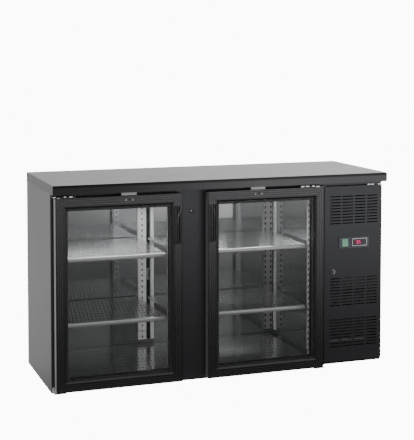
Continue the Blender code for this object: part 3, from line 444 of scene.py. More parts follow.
def folded(points, thick):
    """The closed outline of a sheet bent along the points, thick to the left of the way they run."""
    offset = []
    for index, point in enumerate(points):
        here = Vector(point)
        before = here - Vector(points[index - 1]) if index else None
        after = Vector(points[index + 1]) - here if index + 1 < len(points) else None
        first, second = (before or after).normalized(), (after or before).normalized()
        mitre = Vector((-first.y - second.y, first.x + second.x))
        offset.append(here + mitre * (2 * thick / mitre.length_squared))
    return [tuple(p) for p in points] + [tuple(p) for p in reversed(offset)]


def arc(centre, radius, start, end, steps):
    angles = [math.radians(start + (end - start) * i / steps) for i in range(steps + 1)]
    return [(centre[0] + radius * math.cos(a), centre[1] + radius * math.sin(a)) for a in angles]


def add_turned(made, profile, axis, centre, segments=32):
    """A profile of (radius, height) turned round the axis; a radius of 0 closes it on the axis."""
    move = Matrix.Translation(Vector(centre)) @ AXIS_TURN[axis]
    rings = []
    for radius, height in profile:
        turn = [2 * math.pi * i / segments for i in range(segments if radius else 1)]
        places = [Vector((radius * math.cos(a), radius * math.sin(a), height)) for a in turn]
        rings.append([made.verts.new(move @ place) for place in places])
    pairs = list(zip(rings, rings[1:]))
    if len(rings[0]) > 1 and len(rings[-1]) > 1:
        pairs.append((rings[-1], rings[0]))
    for low, high in pairs:
        for i in range(segments):
            j = (i + 1) % segments
            ring = [low[i % len(low)], low[j % len(low)], high[j % len(high)], high[i % len(high)]]
            made.faces.new(list(dict.fromkeys(ring)))


def turned_piece(name, profile, axis, centre, material, body, segments=32):
    made = bmesh.new()
    add_turned(made, profile, axis, centre, segments)
    return object_from(name, made, material, body, smooth=True)


def tube_piece(name, points, radius, material, body):
    """A pipe along a smooth curve through the points."""
    data = bpy.data.curves.new(name, "CURVE")
    data.dimensions, data.bevel_depth, data.bevel_resolution, data.use_fill_caps = "3D", radius, 4, True
    spline = data.splines.new("NURBS")
    spline.points.add(len(points) - 1)
    for point, place in zip(spline.points, points):
        point.co = (*place, 1)
    spline.use_endpoint_u, spline.order_u, spline.resolution_u = True, 3, 6
    obj = bpy.data.objects.new(name, data)
    bpy.context.scene.collection.objects.link(obj)
    data.materials.append(MATERIALS[material])
    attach(obj, body)
    return obj


# ------------------------ CAD nodes that keep their shape
# Each start of a node's name: its material and the radius of its edges.
NODE_LOOKS = {
    "worktop": ("worktop", 0), "side_panel_": ("side", 0.0006), "back_panel": ("body", 0),
    "base_pan": ("body", 0), "foam_insulation": ("foam", 0), "liner": ("mirror", 0),
    "front_frame": ("body", 0.0012), "mullion_cover": ("body", 0.0006), "pilaster_": ("upright", 0.0003),
    "evaporator_cover": ("mirror", 0.0004), "evaporator_coil": ("fins", 0),
    "interior_lamp": ("lamp", 0.0008), "evaporator_fan": ("motor", 0.0003), "foot_": ("plastic", 0.0004),
    "door_hinge_": ("shaded_zinc", 0.0005), "door_hinge_left_bottom": ("zinc", 0.0005),
    "door_hinge_right_bottom": ("zinc", 0.0005), "lock_striker_": ("striker", 0.0005),
    "door_frame_": ("frame", 0.0003), "door_gasket_": ("rubber", 0.0006),
    "door_handle_": ("pocket", 0.0006), "lock_barrel_": ("shaded_zinc", 0.0012),
    "lock_cam_": ("motor", 0.0003), "service_panel": ("body", 0.0005),
    "panel_hinge_": ("shaded_zinc", 0.0004), "control_bezel": ("bezel", 0.0008),
    "controller_body": ("plastic", 0.0006), "rocker_switch": ("green", 0.0008),
    "controller_key_": ("key", 0.0002), "panel_latch": ("plastic", 0.0012),
    "compressor": ("motor", 0.001), "condenser_coil": ("fins", 0), "condenser_fan": ("motor", 0.0004),
    "condenser_shroud": ("body", 0.0006), "cord_gland": ("plastic", 0.0004),
}
WELD_REACH = 0.00001


def dress_nodes():
    for name, node in NODES.items():
        stem = max((key for key in NODE_LOOKS if name.startswith(key)), key=len, default=None)
        if stem is None:
            continue
        material, bevel = NODE_LOOKS[stem]
        node.data.materials.clear()
        node.data.materials.append(MATERIALS[material])
        weld = node.modifiers.new("weld", "WELD")
        weld.merge_threshold = WELD_REACH
        if bevel:
            add_bevel(node, bevel)


# ------------------------ shelves and uprights
SHEET = 0.0008
HOLE_PITCH, HOLE_RADIUS, HOLE_LONG, HOLE_TURN = 0.0160, 0.0042, 2.4, (-150, -90, -30, 30, 90, 150)
ROW_PITCH, MARGIN = 0.042, 0.012
LIP_ROLL, LIP_DROP, LIP_FOOT, LIP_RETURN = 0.009, 0.002, 0.005, 0.016
HEM_TALL = 0.010
# A dark sheet under each shelf, painted shade seen through its holes: drop, thickness and inset.
HOLE_SHADE_DROP, HOLE_SHADE_THICK, HOLE_SHADE_INSET = 0.0024, 0.0008, 0.002
CLIP_DROP, CLIP_REACH, CLIP_HALF, CLIP_THICK = 0.0125, 0.012, 0.004, 0.002
CLIP_FOOT, CLIP_HEAD = 0.014, 0.006
# The openings of the front frame: left and right edge of each, then both edges in height.
OPENINGS = {"left": (-0.676, -0.244), "right": (-0.044, 0.388)}
OPENING_LOW, OPENING_HIGH = 0.080, 0.765
FLANGE_X, FLANGE_DEEP, GAP_LEFT, GAP_RIGHT, GAP_DEEP = (-0.190, -0.175), 0.010, 0.0004, 0.0005, 0.0005
RIVET_HEIGHTS, RIVET_INSET = (0.140, 0.330, 0.500, 0.700), 0.006
RIVET_PROFILE = [(0, -0.0015), (0.002, -0.0011), (0.003, 0), (0, 0)]
SLOT_PITCH = 0.025


def add_perforated(made, low, high, z):
    """A sheet top with staggered holes: each cell is six faces round a hexagonal hole."""
    wide, deep = high[0] - low[0], high[1] - low[1]
    columns = int((wide - 2 * MARGIN) / HOLE_PITCH)
    rows = int((deep - 2 * MARGIN) / ROW_PITCH)
    row_deep = (deep - 2 * MARGIN) / rows
    half = HOLE_PITCH / 2
    x_start, y_start = low[0] + (wide - columns * HOLE_PITCH) / 2, low[1] + MARGIN
    corners = {
        (i, j): made.verts.new((x_start + i * half, y_start + j * row_deep, z))
        for i in range(2 * columns + 1) for j in range(rows + 1)
    }
    spokes = [math.radians(angle) for angle in HOLE_TURN]
    for j in range(rows):
        shift = j % 2
        if shift:
            for i in (0, 2 * columns - 1):
                made.faces.new([corners[i, j], corners[i + 1, j], corners[i + 1, j + 1], corners[i, j + 1]])
        for i in range(shift, 2 * columns - 1, 2):
            middle = Vector((x_start + (i + 1) * half, y_start + (j + 0.5) * row_deep, z))
            rim = [corners[i, j], corners[i + 1, j], corners[i + 2, j],
                   corners[i + 2, j + 1], corners[i + 1, j + 1], corners[i, j + 1]]
            offsets = [Vector((math.cos(a), HOLE_LONG * math.sin(a), 0)) for a in spokes]
            hole = [made.verts.new(middle + HOLE_RADIUS * offset) for offset in offsets]
            for k in range(6):
                made.faces.new([rim[k], rim[(k + 1) % 6], hole[(k + 1) % 6], hole[k]])
    outline = ((low[0], low[1]), (high[0], low[1]), (high[0], high[1]), (low[0], high[1]))
    outer = [made.verts.new((x, y, z)) for x, y in outline]
    front = [corners[i, 0] for i in range(2 * columns + 1)]
    back = [corners[i, rows] for i in range(2 * columns + 1)]
    left = [corners[0, j] for j in range(rows + 1)]
    right = [corners[2 * columns, j] for j in range(rows + 1)]
    made.faces.new([outer[0], outer[1], *reversed(front)])
    made.faces.new([outer[2], outer[3], *back])
    made.faces.new([outer[3], outer[0], *left])
    made.faces.new([outer[1], outer[2], *reversed(right)])


def perforated_sheet(node, low, high, thick):
    """A perforated sheet in place of a CAD node, with its upper face at the height of high."""
    made = bmesh.new()
    add_perforated(made, low, high, high.z)
    sheet = object_from(f"{node}_sheet", made, "shelf", "cabinet", recalc=False)
    solid = sheet.modifiers.new("thickness", "SOLIDIFY")
    solid.thickness, solid.offset = thick, -1
    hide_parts(node)


def build_shelf(node):
    """The perforated sheet, a dark sheet below it that paints shade into its holes, the rolled front lip and
    the hem.
    """
    low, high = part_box(node)
    start = low.y + LIP_ROLL
    perforated_sheet(node, (low.x, start), high, SHEET)
    # Painted shade for the holes: a dark sheet just under the perforated top.
    hole_shade_top = high.z - HOLE_SHADE_DROP
    lining = ((low.x + HOLE_SHADE_INSET, start, hole_shade_top - HOLE_SHADE_THICK),
              (high.x - HOLE_SHADE_INSET, high.y - HOLE_SHADE_INSET, hole_shade_top))
    box_piece(f"{node}_lining", [lining], "dark", "cabinet", bevel=0.0001)
    under = low.z - LIP_DROP
    edge = arc((start, high.z - LIP_ROLL), LIP_ROLL, 90, 180, 8)
    edge += arc((low.y + LIP_FOOT, under + LIP_FOOT), LIP_FOOT, 180, 270, 6)
    edge += [(low.y + LIP_RETURN, under)]
    made = bmesh.new()
    add_prism(made, folded(edge, SHEET), low.x, high.x)
    object_from(f"{node}_lip", made, "lip", "cabinet", smooth=True)
    made = bmesh.new()
    drop = high.z - HEM_TALL
    add_prism(made, folded([(high.y, drop), (high.y, high.z - SHEET)], SHEET), low.x, high.x)
    for x, way in ((low.x, 1), (high.x, -1)):
        first, last = sorted((x, x + way * SHEET))
        add_box(made, (first, start, drop), (last, high.y - SHEET, high.z - SHEET * 1.02))
    object_from(f"{node}_hem", made, "shelf", "cabinet")


def build_shelves():
    for side in SIDES:
        for level in LEVELS:
            build_shelf(f"shelf_{side}_{level}")
    low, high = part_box("floor_plate")
    perforated_sheet("floor_plate", low, high, high.z - low.z)


def build_slot_shadows():
    """A dark strip through each upright's row of slots, just under its face."""
    half, deep, thin, end = 0.0029, 0.0007, 0.0003, 0.002
    for name in [n for n in NODES if n.startswith("pilaster_")]:
        low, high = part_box(name)
        middle, bottom, top = (low + high) / 2, low.z + end, high.z - end
        if "centre" in name:
            y = low.y + deep if "rear" in name else high.y - deep - thin
            span = ((middle.x - half, y, bottom), (middle.x + half, y + thin, top))
        else:
            x = high.x - deep - thin if "left" in name else low.x + deep
            span = ((x, middle.y - half, bottom), (x + thin, middle.y + half, top))
        box_piece(f"{name}_shadow", [span], "dark", "cabinet", bevel=0.00002)


def build_front_skin():
    """The bright lining on the back of the front frame, round the two openings."""
    low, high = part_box("liner")
    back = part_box("front_frame")[1].y
    off, thin, wall = 0.00005, 0.0002, 0.0012
    inner_left, inner_right = low.x + wall, high.x - wall
    spans = [
        (inner_left, OPENINGS["left"][0], OPENING_LOW, OPENING_HIGH),
        (OPENINGS["left"][1], OPENINGS["right"][0], OPENING_LOW, OPENING_HIGH),
        (OPENINGS["right"][1], inner_right, OPENING_LOW, OPENING_HIGH),
        (inner_left, inner_right, OPENING_HIGH, high.z - wall),
    ]
    boxes = [((x_low, back + off, z_low), (x_high, back + off + thin, z_high))
             for x_low, x_high, z_low, z_high in spans]
    box_piece("front_skin", boxes, "skin", "cabinet", bevel=0.00005)


def build_centre_flange():
    """The second, narrow flange beside the centre upright, with the shadow gap between the two."""
    low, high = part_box("pilaster_centre_rear")
    start, end = FLANGE_X
    flange = ((start, high.y - FLANGE_DEEP, low.z), (end, high.y, high.z))
    box_piece("centre_flange", [flange], "upright", "cabinet")
    gap = ((high.x + GAP_LEFT, high.y - GAP_DEEP, low.z), (start - GAP_RIGHT, high.y, high.z))
    box_piece("centre_gap", [gap], "dark", "cabinet", bevel=0.0001)
    heads = bmesh.new()
    for z in RIVET_HEIGHTS:
        for x in (low.x + RIVET_INSET, high.x - RIVET_INSET):
            add_turned(heads, RIVET_PROFILE, "Y", (x, low.y, z), 16)
    object_from("centre_rivets", heads, "zinc", "cabinet", smooth=True)


def build_clips():
    """The bent clips that sit in the slots and carry the shelves' corners."""
    for level in LEVELS:
        for place in ("front", "rear"):
            for side in SIDES:
                shelf_low, shelf_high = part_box(f"shelf_{side}_{level}")
                post_low, post_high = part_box(f"pilaster_{side}_{place}")
                middle = (post_low.y + post_high.y) / 2
                y_low, y_high = middle - CLIP_HALF, middle + CLIP_HALF
                under = shelf_high.z - CLIP_DROP
                if side == "left":
                    start, end, way = post_high.x, shelf_low.x + CLIP_REACH, 1
                else:
                    start, end, way = post_low.x, shelf_high.x - CLIP_REACH, -1
                arm = sorted((start, end))
                wall = sorted((start, start + way * CLIP_THICK))
                boxes = [
                    ((arm[0], y_low, under - CLIP_THICK), (arm[1], y_high, under)),
                    ((wall[0], y_low, under - CLIP_FOOT), (wall[1], y_high, under + CLIP_HEAD)),
                ]
                box_piece(f"clip_{side}_{place}_{level}", boxes, "zinc", "cabinet")


# ------------------------ doors
PANE, PANE_GAP = 0.004, 0.0002
SPACER_WIDE, SPACER_LEFT, SPACER_TOP = 0.0105, 0.004, 0.0065
GROOVE_INSETS, GROOVE_WIDE, GROOVE_FRONT, GROOVE_BACK = (0.0084, 0.0169, 0.0254), 0.0012, 0.0003, 0.0012
TRIM_THICK, TRIM_FRONT, TRIM_BACK, TRIM_END = 0.0004, 0.004, 0.003, 0.002
MITRE_START, MITRE_END, MITRE_HALF, MITRE_PROUD, MITRE_DEEP = 0.002, 0.0345, 0.00035, 0.00008, 0.0003
KEYWAY_HALF_WIDE, KEYWAY_HALF_TALL, KEYWAY_Y = 0.0006, 0.0038, (0.00005, 0.0006)
# A thin plate on a face: how far its front and its back stand proud of the face.
PLATE_FRONT, PLATE_BACK, SURROUND_FRONT = 0.0008, 0.0001, 0.0007
EAR_REACH, EAR_RADIUS = 0.0115, 0.0055
SURROUND_OUTER, SURROUND_INNER, SURROUND_BELOW, SURROUND_ABOVE = 0.0072, 0.0045, 0.002, 0.003
HANDLE_HIGHLIGHT_RADIUS, HANDLE_HIGHLIGHT_PROUD = 0.0011, 0.0008
# The painted highlight on each handle's edge, a bright line: across from its edge on the closing side, down
# from its top.
HANDLE_HIGHLIGHT_POINTS = {
    "left": ((0.005, 0.002), (0.001, -0.022), (-0.0085, -0.040), (-0.011, -0.064)),
    "right": ((0.001, 0.002), (0.010, -0.012), (0.016, -0.024), (0.018, -0.040)),
}


def add_ring(made, low, high, inset, wide, front, back):
    """A mitred rectangular ring in XZ, between two insets from low and high."""
    loops = []
    for shift in (inset, inset + wide):
        corners = ((low.x + shift, low.z + shift), (high.x - shift, low.z + shift),
                   (high.x - shift, high.z - shift), (low.x + shift, high.z - shift))
        for y in (front, back):
            loops.append([made.verts.new((x, y, z)) for x, z in corners])
    outer_front, outer_back, inner_front, inner_back = loops
    for first, second in ((outer_front, outer_back), (inner_front, inner_back),
                          (outer_front, inner_front), (outer_back, inner_back)):
        for i in range(4):
            j = (i + 1) % 4
            made.faces.new([first[i], first[j], second[j], second[i]])


def build_door(side):
    body, node = f"door_{side}", f"door_glass_{side}"
    low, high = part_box(node)
    for place, front, back in (("outer", low.y, low.y + PANE), ("inner", high.y - PANE, high.y)):
        made = bmesh.new()
        add_box(made, (low.x, front, low.z), (high.x, back, high.z))
        glass = object_from(f"glass_{side}_{place}", made, "glass", body)
        if place == "outer":
            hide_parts(node)
    build_spacer(side, body)
    build_frame_lines(side, body)
    build_mitres(side, body)
    build_keyway(side)
    build_lock_ears(side, body)
    build_handle_rim(side, body)


def build_spacer(side, body):
    """The black spacer between the panes, which shows wider at the left and at the top."""
    low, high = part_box(f"door_glass_{side}")
    front, back = low.y + PANE + PANE_GAP, high.y - PANE - PANE_GAP
    left, right = low.x + SPACER_WIDE, high.x - SPACER_WIDE
    bottom, top = low.z + SPACER_WIDE, high.z - SPACER_WIDE
    made = bmesh.new()
    add_ring(made, low, high, 0.0, SPACER_WIDE, front, back)
    add_box(made, (left, front, bottom), (left + SPACER_LEFT, back, top))
    add_box(made, (left, front, top - SPACER_TOP), (right, back, top))
    object_from(f"glass_spacer_{side}", made, "spacer", body)


def build_frame_lines(side, body):
    """The sheen in the frame's grooves, and the bright strips along its two upright sides."""
    low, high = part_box(f"door_frame_{side}")
    made = bmesh.new()
    for inset in GROOVE_INSETS:
        add_ring(made, low, high, inset, GROOVE_WIDE, low.y + GROOVE_FRONT, low.y + GROOVE_BACK)
    object_from(f"frame_grooves_{side}", made, "groove", body)
    trims = [
        ((x, low.y + TRIM_FRONT, low.z + TRIM_END), (x + TRIM_THICK, high.y - TRIM_BACK, high.z - TRIM_END))
        for x in (low.x - TRIM_THICK, high.x)
    ]
    box_piece(f"edge_trim_{side}", trims, "trim", body, bevel=0.0001)


def build_mitres(side, body):
    """Thin dark joints where the frame's stiles and rails meet at 45 degrees."""
    low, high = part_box(f"door_frame_{side}")
    made = bmesh.new()
    for x, x_way in ((low.x, 1), (high.x, -1)):
        for z, z_way in ((low.z, 1), (high.z, -1)):
            start = Vector((x + x_way * MITRE_START, 0, z + z_way * MITRE_START))
            end = Vector((x + x_way * MITRE_END, 0, z + z_way * MITRE_END))
            off = Vector((-x_way, 0, z_way)).normalized() * MITRE_HALF
            corners = [start - off, end - off, end + off, start + off]
            add_prism(made, [(c.x, c.z) for c in corners], low.y - MITRE_PROUD, low.y + MITRE_DEEP, "Y")
    object_from(f"mitre_joints_{side}", made, "rubber", body)


# A flat black slit in the lock barrel's face: painted shade for the keyway.
def build_keyway(side):
    low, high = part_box(f"lock_barrel_{side}")
    x, z, face = (low.x + high.x) / 2, (low.z + high.z) / 2, low.y
    front, back = face + KEYWAY_Y[0], face + KEYWAY_Y[1]
    slit = ((x - KEYWAY_HALF_WIDE, front, z - KEYWAY_HALF_TALL),
            (x + KEYWAY_HALF_WIDE, back, z + KEYWAY_HALF_TALL))
    box_piece(f"keyway_{side}", [slit], "dark", f"lock_{side}", bevel=0.0001)


def build_lock_ears(side, body):
    """The two bright round ends of the plate behind the lock barrel."""
    low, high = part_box(f"lock_barrel_{side}")
    x, z, face = (low.x + high.x) / 2, (low.z + high.z) / 2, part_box(f"door_frame_{side}")[0].y
    made = bmesh.new()
    for way, start in ((-1, 90), (1, -90)):
        outline = arc((x + way * EAR_REACH, z), EAR_RADIUS, start, start + 180, 10)
        add_prism(made, outline, face - PLATE_FRONT, face - PLATE_BACK, "Y")
    object_from(f"lock_plate_{side}", made, "striker", body)


def build_handle_rim(side, body):
    """The black pocket surround of the recessed handle, and a bright line along its edge that is a painted
    highlight.
    """
    low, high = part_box(f"door_handle_{side}")
    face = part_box(f"door_frame_{side}")[0].y
    if side == "left":
        x_low, x_high, line_start = low.x - SURROUND_INNER, high.x + SURROUND_OUTER, high.x
    else:
        x_low, x_high, line_start = low.x - SURROUND_OUTER, high.x + SURROUND_INNER, low.x
    z_low, z_high = low.z - SURROUND_BELOW, high.z + SURROUND_ABOVE
    front, back = face - SURROUND_FRONT, face - PLATE_BACK
    frame_boxes = [
        ((x_low, front, z_low), (low.x, back, z_high)), ((high.x, front, z_low), (x_high, back, z_high)),
        ((low.x, front, high.z), (high.x, back, z_high)), ((low.x, front, z_low), (high.x, back, low.z)),
    ]
    box_piece(f"handle_surround_{side}", frame_boxes, "pocket", body, bevel=0.0002)
    # A painted highlight: a thin bright tube along the pocket's edge.
    y = front - HANDLE_HIGHLIGHT_PROUD
    points = [(line_start + across, y, high.z + drop) for across, drop in HANDLE_HIGHLIGHT_POINTS[side]]
    tube_piece(f"handle_highlight_{side}", points, HANDLE_HIGHLIGHT_RADIUS, "lock", body)


# ------------------------ controls and small hardware
# Each bar of a digit: columns across, half heights up, and whether it lies flat.
SEGMENTS = {
    "a": (0, 2, True), "b": (1, 1, False), "c": (1, 0, False), "d": (0, 0, True),
    "e": (0, 0, False), "f": (0, 1, False), "g": (0, 1, True),
}
DIGITS = {"3": "abgcd", "5": "afgcd"}
SHOWN = "35"
RIM_INSET, RIM_WIDE, RIM_Y = 0.0006, 0.0022, (-0.0008, 0.0002)
WINDOW_INSET, WINDOW_Y, KEYS_WIDE = 0.008, (-0.0003, 0.0001), 0.022
DIGIT_Y, POINT_BEFORE, POINT_WIDE = (-0.0005, -0.0002), 0.0035, 0.0013
DIGIT_TALL, DIGIT_WIDE, DIGIT_BAR, DIGIT_PITCH, DIGIT_START = 0.0062, 0.0066, 0.0012, 0.0115, 0.013
RAIL_Y, RAIL_Z = (0.0030, 0.0042), (0.1327, 0.1347)
RAIL_SPANS = ((0.029, 0.076), (0.085, 0.134), (0.146, 0.190))
# The latch head's painted highlight, a crescent between two circles.
CRESCENT_OUTER, CRESCENT_INNER = 0.0112, 0.0085
CRESCENT_SHIFT, CRESCENT_TURN = (-0.0022, 0.0004), (-75, 120)
STEP_LEFT, STEP_FRONT, STEP_BACK, STEP_LOW, STEP_HIGH = 0.4560, -0.1995, -0.1645, 0.0281, 0.0345
STEP_CLEAR = 0.0005
FLANGE_FOLD, FLANGE_THICK, FLANGE_CLEAR = 0.018, 0.0008, 0.0001
SCREW_HEIGHT, SCREW_RADIUS = 0.728, 0.0050
CROSS_LONG, CROSS_HALF, CROSS_Y = 0.55, 0.13, (-0.00226, -0.0019)
# A dark ring round the mullion screw: a painted shadow.
SCREW_SHADOW_PROFILE = [(0.0052, 0), (0.0052, -0.0006), (0.0088, -0.0006), (0.0088, 0)]
# A screw head as (share of its radius, height).
PAN_HEAD = ((0, -0.0022), (0.55, -0.0020), (0.9, -0.0012), (1, -0.0004), (1, 0), (0, 0))
# The tabs of each hinge plate: first edge, last edge and lift, from the plate's outer end.
TABS = {
    "left": ((0.000, 0.010, 0), (0.016, 0.026, -0.004), (0.042, 0.052, 0), (0.064, 0.077, 0)),
    "right": ((0.027, 0.043, -0.002), (0.050, 0.062, 0), (0.075, 0.092, 0), (0.097, 0.113, 0)),
    "panel": ((0.006, 0.016, 0), (0.036, 0.050, 0), (0.053, 0.066, 0)),
}
TAB_THICK, TAB_TALL, TAB_DROP, PANEL_TAB_BACK, PANEL_TAB_DROP = 0.0016, 0.0055, 0.0105, 0.0004, 0.004
JAMB_LOW, JAMB_HIGH, JAMB_FRONT, JAMB_BACK, JAMB_NARROW = 0.084, 0.761, 0.002, 0.001, 0.0035
JAMB_X, JAMB_SLOTS = (-0.0010, -0.0001), 26
JAMB_SLOT_X, JAMB_SLOT_Y, JAMB_SLOT_Z = (-0.0012, -0.0009), (-0.0055, 0.003), (0.012, 0.024)
POST_X, POST_Y, POST_Z = (0.352, 0.3935), (0.2068, 0.2212), (0.100, 0.775)
POST_SLOT_X, POST_SLOT_HALF, POST_SLOT_Z, POST_SLOTS = (0.3590, 0.3860), 0.0032, (0.0085, 0.0195), 27
BRACKET_X, BRACKET_Z, BRACKET_BAR = (-0.2035, -0.1990, -0.1900), (0.3665, 0.4165), 0.0030
BRACKET_Y = (0.2135, 0.2150, 0.2180, 0.2212)


def build_display():
    """The rim, the dark window and the lit digits of the temperature controller."""
    low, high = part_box("controller_body")
    front = low.y
    made = bmesh.new()
    add_ring(made, low, high, RIM_INSET, RIM_WIDE, front + RIM_Y[0], front + RIM_Y[1])
    rim = object_from("controller_rim", made, "zinc", "service_door")
    add_bevel(rim, 0.0003)
    window = ((low.x + WINDOW_INSET, front + WINDOW_Y[0], low.z + WINDOW_INSET),
              (high.x - KEYS_WIDE, front + WINDOW_Y[1], high.z - WINDOW_INSET))
    box_piece("display_window", [window], "display", "service_door", bevel=0.0001)
    digit_front, digit_back = front + DIGIT_Y[0], front + DIGIT_Y[1]
    base_z = (low.z + high.z) / 2 - DIGIT_TALL
    boxes = []
    for index, digit in enumerate(SHOWN):
        base_x = window[0][0] + DIGIT_START + index * DIGIT_PITCH
        for key in DIGITS[digit]:
            across, up, flat = SEGMENTS[key]
            x, z = base_x + across * DIGIT_WIDE, base_z + up * DIGIT_TALL
            wide, tall = (DIGIT_WIDE, DIGIT_BAR) if flat else (DIGIT_BAR, DIGIT_TALL)
            boxes.append(((x, digit_front, z), (x + wide, digit_back, z + tall)))
    point = base_x - POINT_BEFORE
    boxes.append(((point, digit_front, base_z), (point + POINT_WIDE, digit_back, base_z + DIGIT_BAR)))
    box_piece("display_digits", boxes, "digit", "service_door", bevel=0.00005)


def build_panel_rail():
    """The bright bars that show through a slot row near the foot of the service panel."""
    low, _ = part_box("service_panel")
    front, back = low.y + RAIL_Y[0], low.y + RAIL_Y[1]
    bars = [((low.x + start, front, RAIL_Z[0]), (low.x + end, back, RAIL_Z[1])) for start, end in RAIL_SPANS]
    box_piece("panel_inner_rail", bars, "zinc", "service_door", bevel=0.0003)


def build_latch_highlight():
    """A painted highlight: the bright crescent at the right of the latch's round head."""
    low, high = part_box("panel_latch")
    x, z = (low.x + high.x) / 2, high.z - (high.x - low.x) / 2
    start, end = CRESCENT_TURN
    hollow = (x + CRESCENT_SHIFT[0], z + CRESCENT_SHIFT[1])
    outline = arc((x, z), CRESCENT_OUTER, start, end, 18) + arc(hollow, CRESCENT_INNER, end, start, 18)
    made = bmesh.new()
    add_prism(made, outline, low.y - PLATE_FRONT, low.y - PLATE_BACK, "Y")
    object_from("latch_highlight", made, "lock", "service_latch")


def build_rear_flange():
    """A folded strip inside the seam between the back panel and the right side panel."""
    low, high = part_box("back_panel")
    right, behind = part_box("side_panel_right")[0].x, low.y - FLANGE_CLEAR
    inner = right - FLANGE_CLEAR
    boxes = [
        ((right - FLANGE_FOLD, low.y - FLANGE_THICK, low.z), (inner, behind, high.z)),
        ((right - FLANGE_THICK, low.y - FLANGE_FOLD, low.z), (inner, behind, high.z)),
    ]
    box_piece("rear_corner_flange", boxes, "body", "cabinet", bevel=0.0002)


def build_bay_step():
    """The sheet that closes the step at the front of the service bay's floor."""
    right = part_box("side_panel_right")[0].x - STEP_CLEAR
    boxes = [
        ((STEP_LEFT, STEP_FRONT, STEP_HIGH), (right, STEP_BACK, STEP_HIGH + SHEET)),
        ((STEP_LEFT, STEP_BACK - SHEET, STEP_LOW), (right, STEP_BACK, STEP_HIGH)),
    ]
    box_piece("bay_step", boxes, "body", "cabinet", bevel=0.0001)


def hinge_lips(name, start, way, y, z, tabs):
    """Short turned-up tabs along the front of a hinge plate."""
    pieces = []
    for first, last, lift in tabs:
        x_low, x_high = sorted((start + way * first, start + way * last))
        pieces.append(((x_low, y - TAB_THICK, z + lift), (x_high, y, z + lift + TAB_TALL)))
    box_piece(name, pieces, "zinc", "cabinet", bevel=0.0006)


def build_hinge_lips():
    low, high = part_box("door_hinge_left_top")
    hinge_lips("hinge_lip_left", low.x, 1, low.y + TAB_THICK, high.z - TAB_DROP, TABS["left"])
    low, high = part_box("door_hinge_right_top")
    hinge_lips("hinge_lip_right", high.x, -1, low.y + TAB_THICK, high.z - TAB_DROP, TABS["right"])
    low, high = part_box("panel_hinge_top")
    y, z = low.y + PANEL_TAB_BACK, high.z - PANEL_TAB_DROP
    hinge_lips("panel_hinge_lip", high.x, -1, y, z, TABS["panel"])


def screw(name, place, material, body, radius):
    """A pan-head screw in a -Y face, with a flat black cross on its head: painted shade for the cross recess.
    """
    x, y, z = place
    profile = [(radius * share, height) for share, height in PAN_HEAD]
    turned_piece(name, profile, "Y", place, material, body, 20)
    arm, wide = radius * CROSS_LONG, radius * CROSS_HALF
    front, back = y + CROSS_Y[0], y + CROSS_Y[1]
    cross = [
        ((x - arm, front, z - wide), (x + arm, back, z + wide)),
        ((x - wide, front, z - arm), (x + wide, back, z + arm)),
    ]
    box_piece(f"{name}_cross", cross, "dark", body, bevel=0.00003)


def build_mullion_screw():
    low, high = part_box("mullion_cover")
    place = ((low.x + high.x) / 2, low.y, SCREW_HEIGHT)
    screw("mullion_screw", place, "zinc", "cabinet", SCREW_RADIUS)
    # Painted shadow: a dark ring round the screw head.
    turned_piece("mullion_screw_washer", SCREW_SHADOW_PROFILE, "Y", place, "dark", "cabinet", 24)


def build_jamb_strips():
    """Bright strips on the right jamb of both openings; the outer one carries flat black marks, painted shade
    for its shelf slots.
    """
    low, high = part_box("front_frame")
    start, end = low.y + JAMB_FRONT, high.y - JAMB_BACK
    for side, back in (("left", start + JAMB_NARROW), ("right", end)):
        x = OPENINGS[side][1]
        strip = ((x + JAMB_X[0], start, JAMB_LOW), (x + JAMB_X[1], back, JAMB_HIGH))
        box_piece(f"jamb_strip_{side}", [strip], "upright", "cabinet", bevel=0.0002)
    x, middle = OPENINGS["right"][1], (start + end) / 2
    # Painted shade: flat black marks where the slots are.
    heights = [JAMB_LOW + SLOT_PITCH * step for step in range(JAMB_SLOTS)]
    slot = list(zip(JAMB_SLOT_X, JAMB_SLOT_Y, JAMB_SLOT_Z))
    slots = [[(x + across, middle + back, z + up) for across, back, up in slot] for z in heights]
    box_piece("jamb_slots", slots, "dark", "cabinet", bevel=0.0001)


def build_corner_post():
    """The slotted post in the rear right corner, facing the door; its slots are flat black marks, painted
    shade.
    """
    post = tuple(zip(POST_X, POST_Y, POST_Z))
    box_piece("corner_post", [post], "trim", "cabinet")
    front, (start, end) = POST_Y[0], POST_SLOT_Z
    slots = [
        ((x - POST_SLOT_HALF, front - 0.0002, z + start), (x + POST_SLOT_HALF, front + 0.0002, z + end))
        for x in POST_SLOT_X for z in [POST_Z[0] + SLOT_PITCH * step for step in range(POST_SLOTS)]
    ]
    box_piece("corner_post_slots", slots, "dark", "cabinet", bevel=0)


def build_gap_bracket():
    """A bright bracket in the gap beside the centre upright."""
    left, rail_right, right = BRACKET_X
    front, arm_front, rail_back, arm_back = BRACKET_Y
    bottom, top = BRACKET_Z
    boxes = [((left, front, bottom), (rail_right, rail_back, top))]
    for z in (bottom, top - BRACKET_BAR):
        boxes.append(((left, arm_front, z), (right, arm_back, z + BRACKET_BAR)))
    box_piece("probe_clip", boxes, "trim", "cabinet")


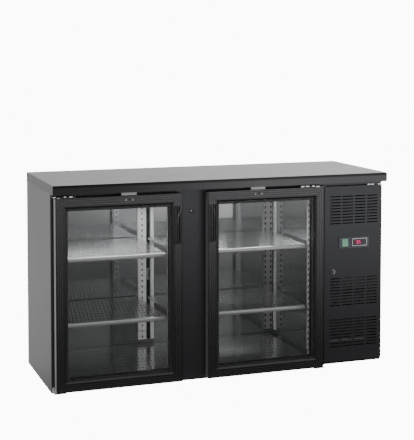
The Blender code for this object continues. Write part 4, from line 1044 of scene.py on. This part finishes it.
# ------------------------ refrigeration unit
PIPE_RIGHT = 0.712
DRIER_PLACE = (0.700, 0.02, 0.20)
DRIER_PROFILE = [
    (0, -0.055), (0.003, -0.055), (0.003, -0.045), (0.009, -0.036),
    (0.009, 0.036), (0.003, 0.045), (0.003, 0.055), (0, 0.055),
]
MOTOR_PROFILE = [
    (0, 0.0015), (0.022, 0.0015), (0.026, 0.004), (0.030, 0.012), (0.030, 0.040), (0.024, 0.046), (0, 0.046),
]
FAN_HEIGHT = 0.200
DISCHARGE_RADIUS, SUCTION_RADIUS = 0.003, 0.0045
RELAY_X, RELAY_Y, RELAY_Z = (0.062, 0.100), (-0.03, 0.03), (0.075, 0.135)


def build_pipes():
    """The discharge pipe from compressor to condenser, and the suction pipe from the cabinet."""
    low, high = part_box("compressor")
    x, y, top = (low.x + high.x) / 2, (low.y + high.y) / 2, high.z
    coil_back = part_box("condenser_coil")[1].y
    discharge = [
        (x + 0.05, y - 0.05, top - 0.05), (x + 0.08, y - 0.07, top - 0.01), (x + 0.10, y - 0.12, top + 0.06),
        (PIPE_RIGHT, -0.02, 0.30), (PIPE_RIGHT, -0.12, 0.31), (PIPE_RIGHT - 0.004, coil_back - 0.02, 0.31),
    ]
    tube_piece("discharge_pipe", discharge, DISCHARGE_RADIUS, "copper", "cabinet")
    suction = [
        (x - 0.05, y - 0.04, top - 0.05), (x - 0.09, y - 0.06, top), (0.480, 0.08, 0.34),
        (0.476, 0.10, 0.60), (0.470, 0.11, 0.74), (0.456, 0.11, 0.745),
    ]
    tube_piece("suction_pipe", suction, SUCTION_RADIUS, "copper", "cabinet")


def build_drier():
    turned_piece("filter_drier", DRIER_PROFILE, "Z", DRIER_PLACE, "copper", "cabinet", 24)


def build_relay_box():
    low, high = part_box("compressor")
    x, y = (low.x + high.x) / 2, (low.y + high.y) / 2
    relay = [(x + across, y + back, z) for across, back, z in zip(RELAY_X, RELAY_Y, RELAY_Z)]
    box_piece("relay_box", [relay], "plastic", "cabinet", bevel=0.003)


def build_fan_motor():
    low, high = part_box("condenser_fan")
    centre = ((low.x + high.x) / 2, high.y, FAN_HEIGHT)
    turned_piece("condenser_fan_motor", MOTOR_PROFILE, "Y", centre, "motor", "cabinet", 28)


make_camera()
MATERIALS = make_materials()
make_world()
make_floor()
make_lights()
dress_nodes()
build_shelves()
build_slot_shadows()
build_front_skin()
build_centre_flange()
build_clips()
for door in SIDES:
    build_door(door)
build_display()
build_panel_rail()
build_latch_highlight()
build_hinge_lips()
build_mullion_screw()
build_jamb_strips()
build_corner_post()
build_gap_bracket()
build_rear_flange()
build_bay_step()
build_pipes()
build_drier()
build_relay_box()
build_fan_motor()
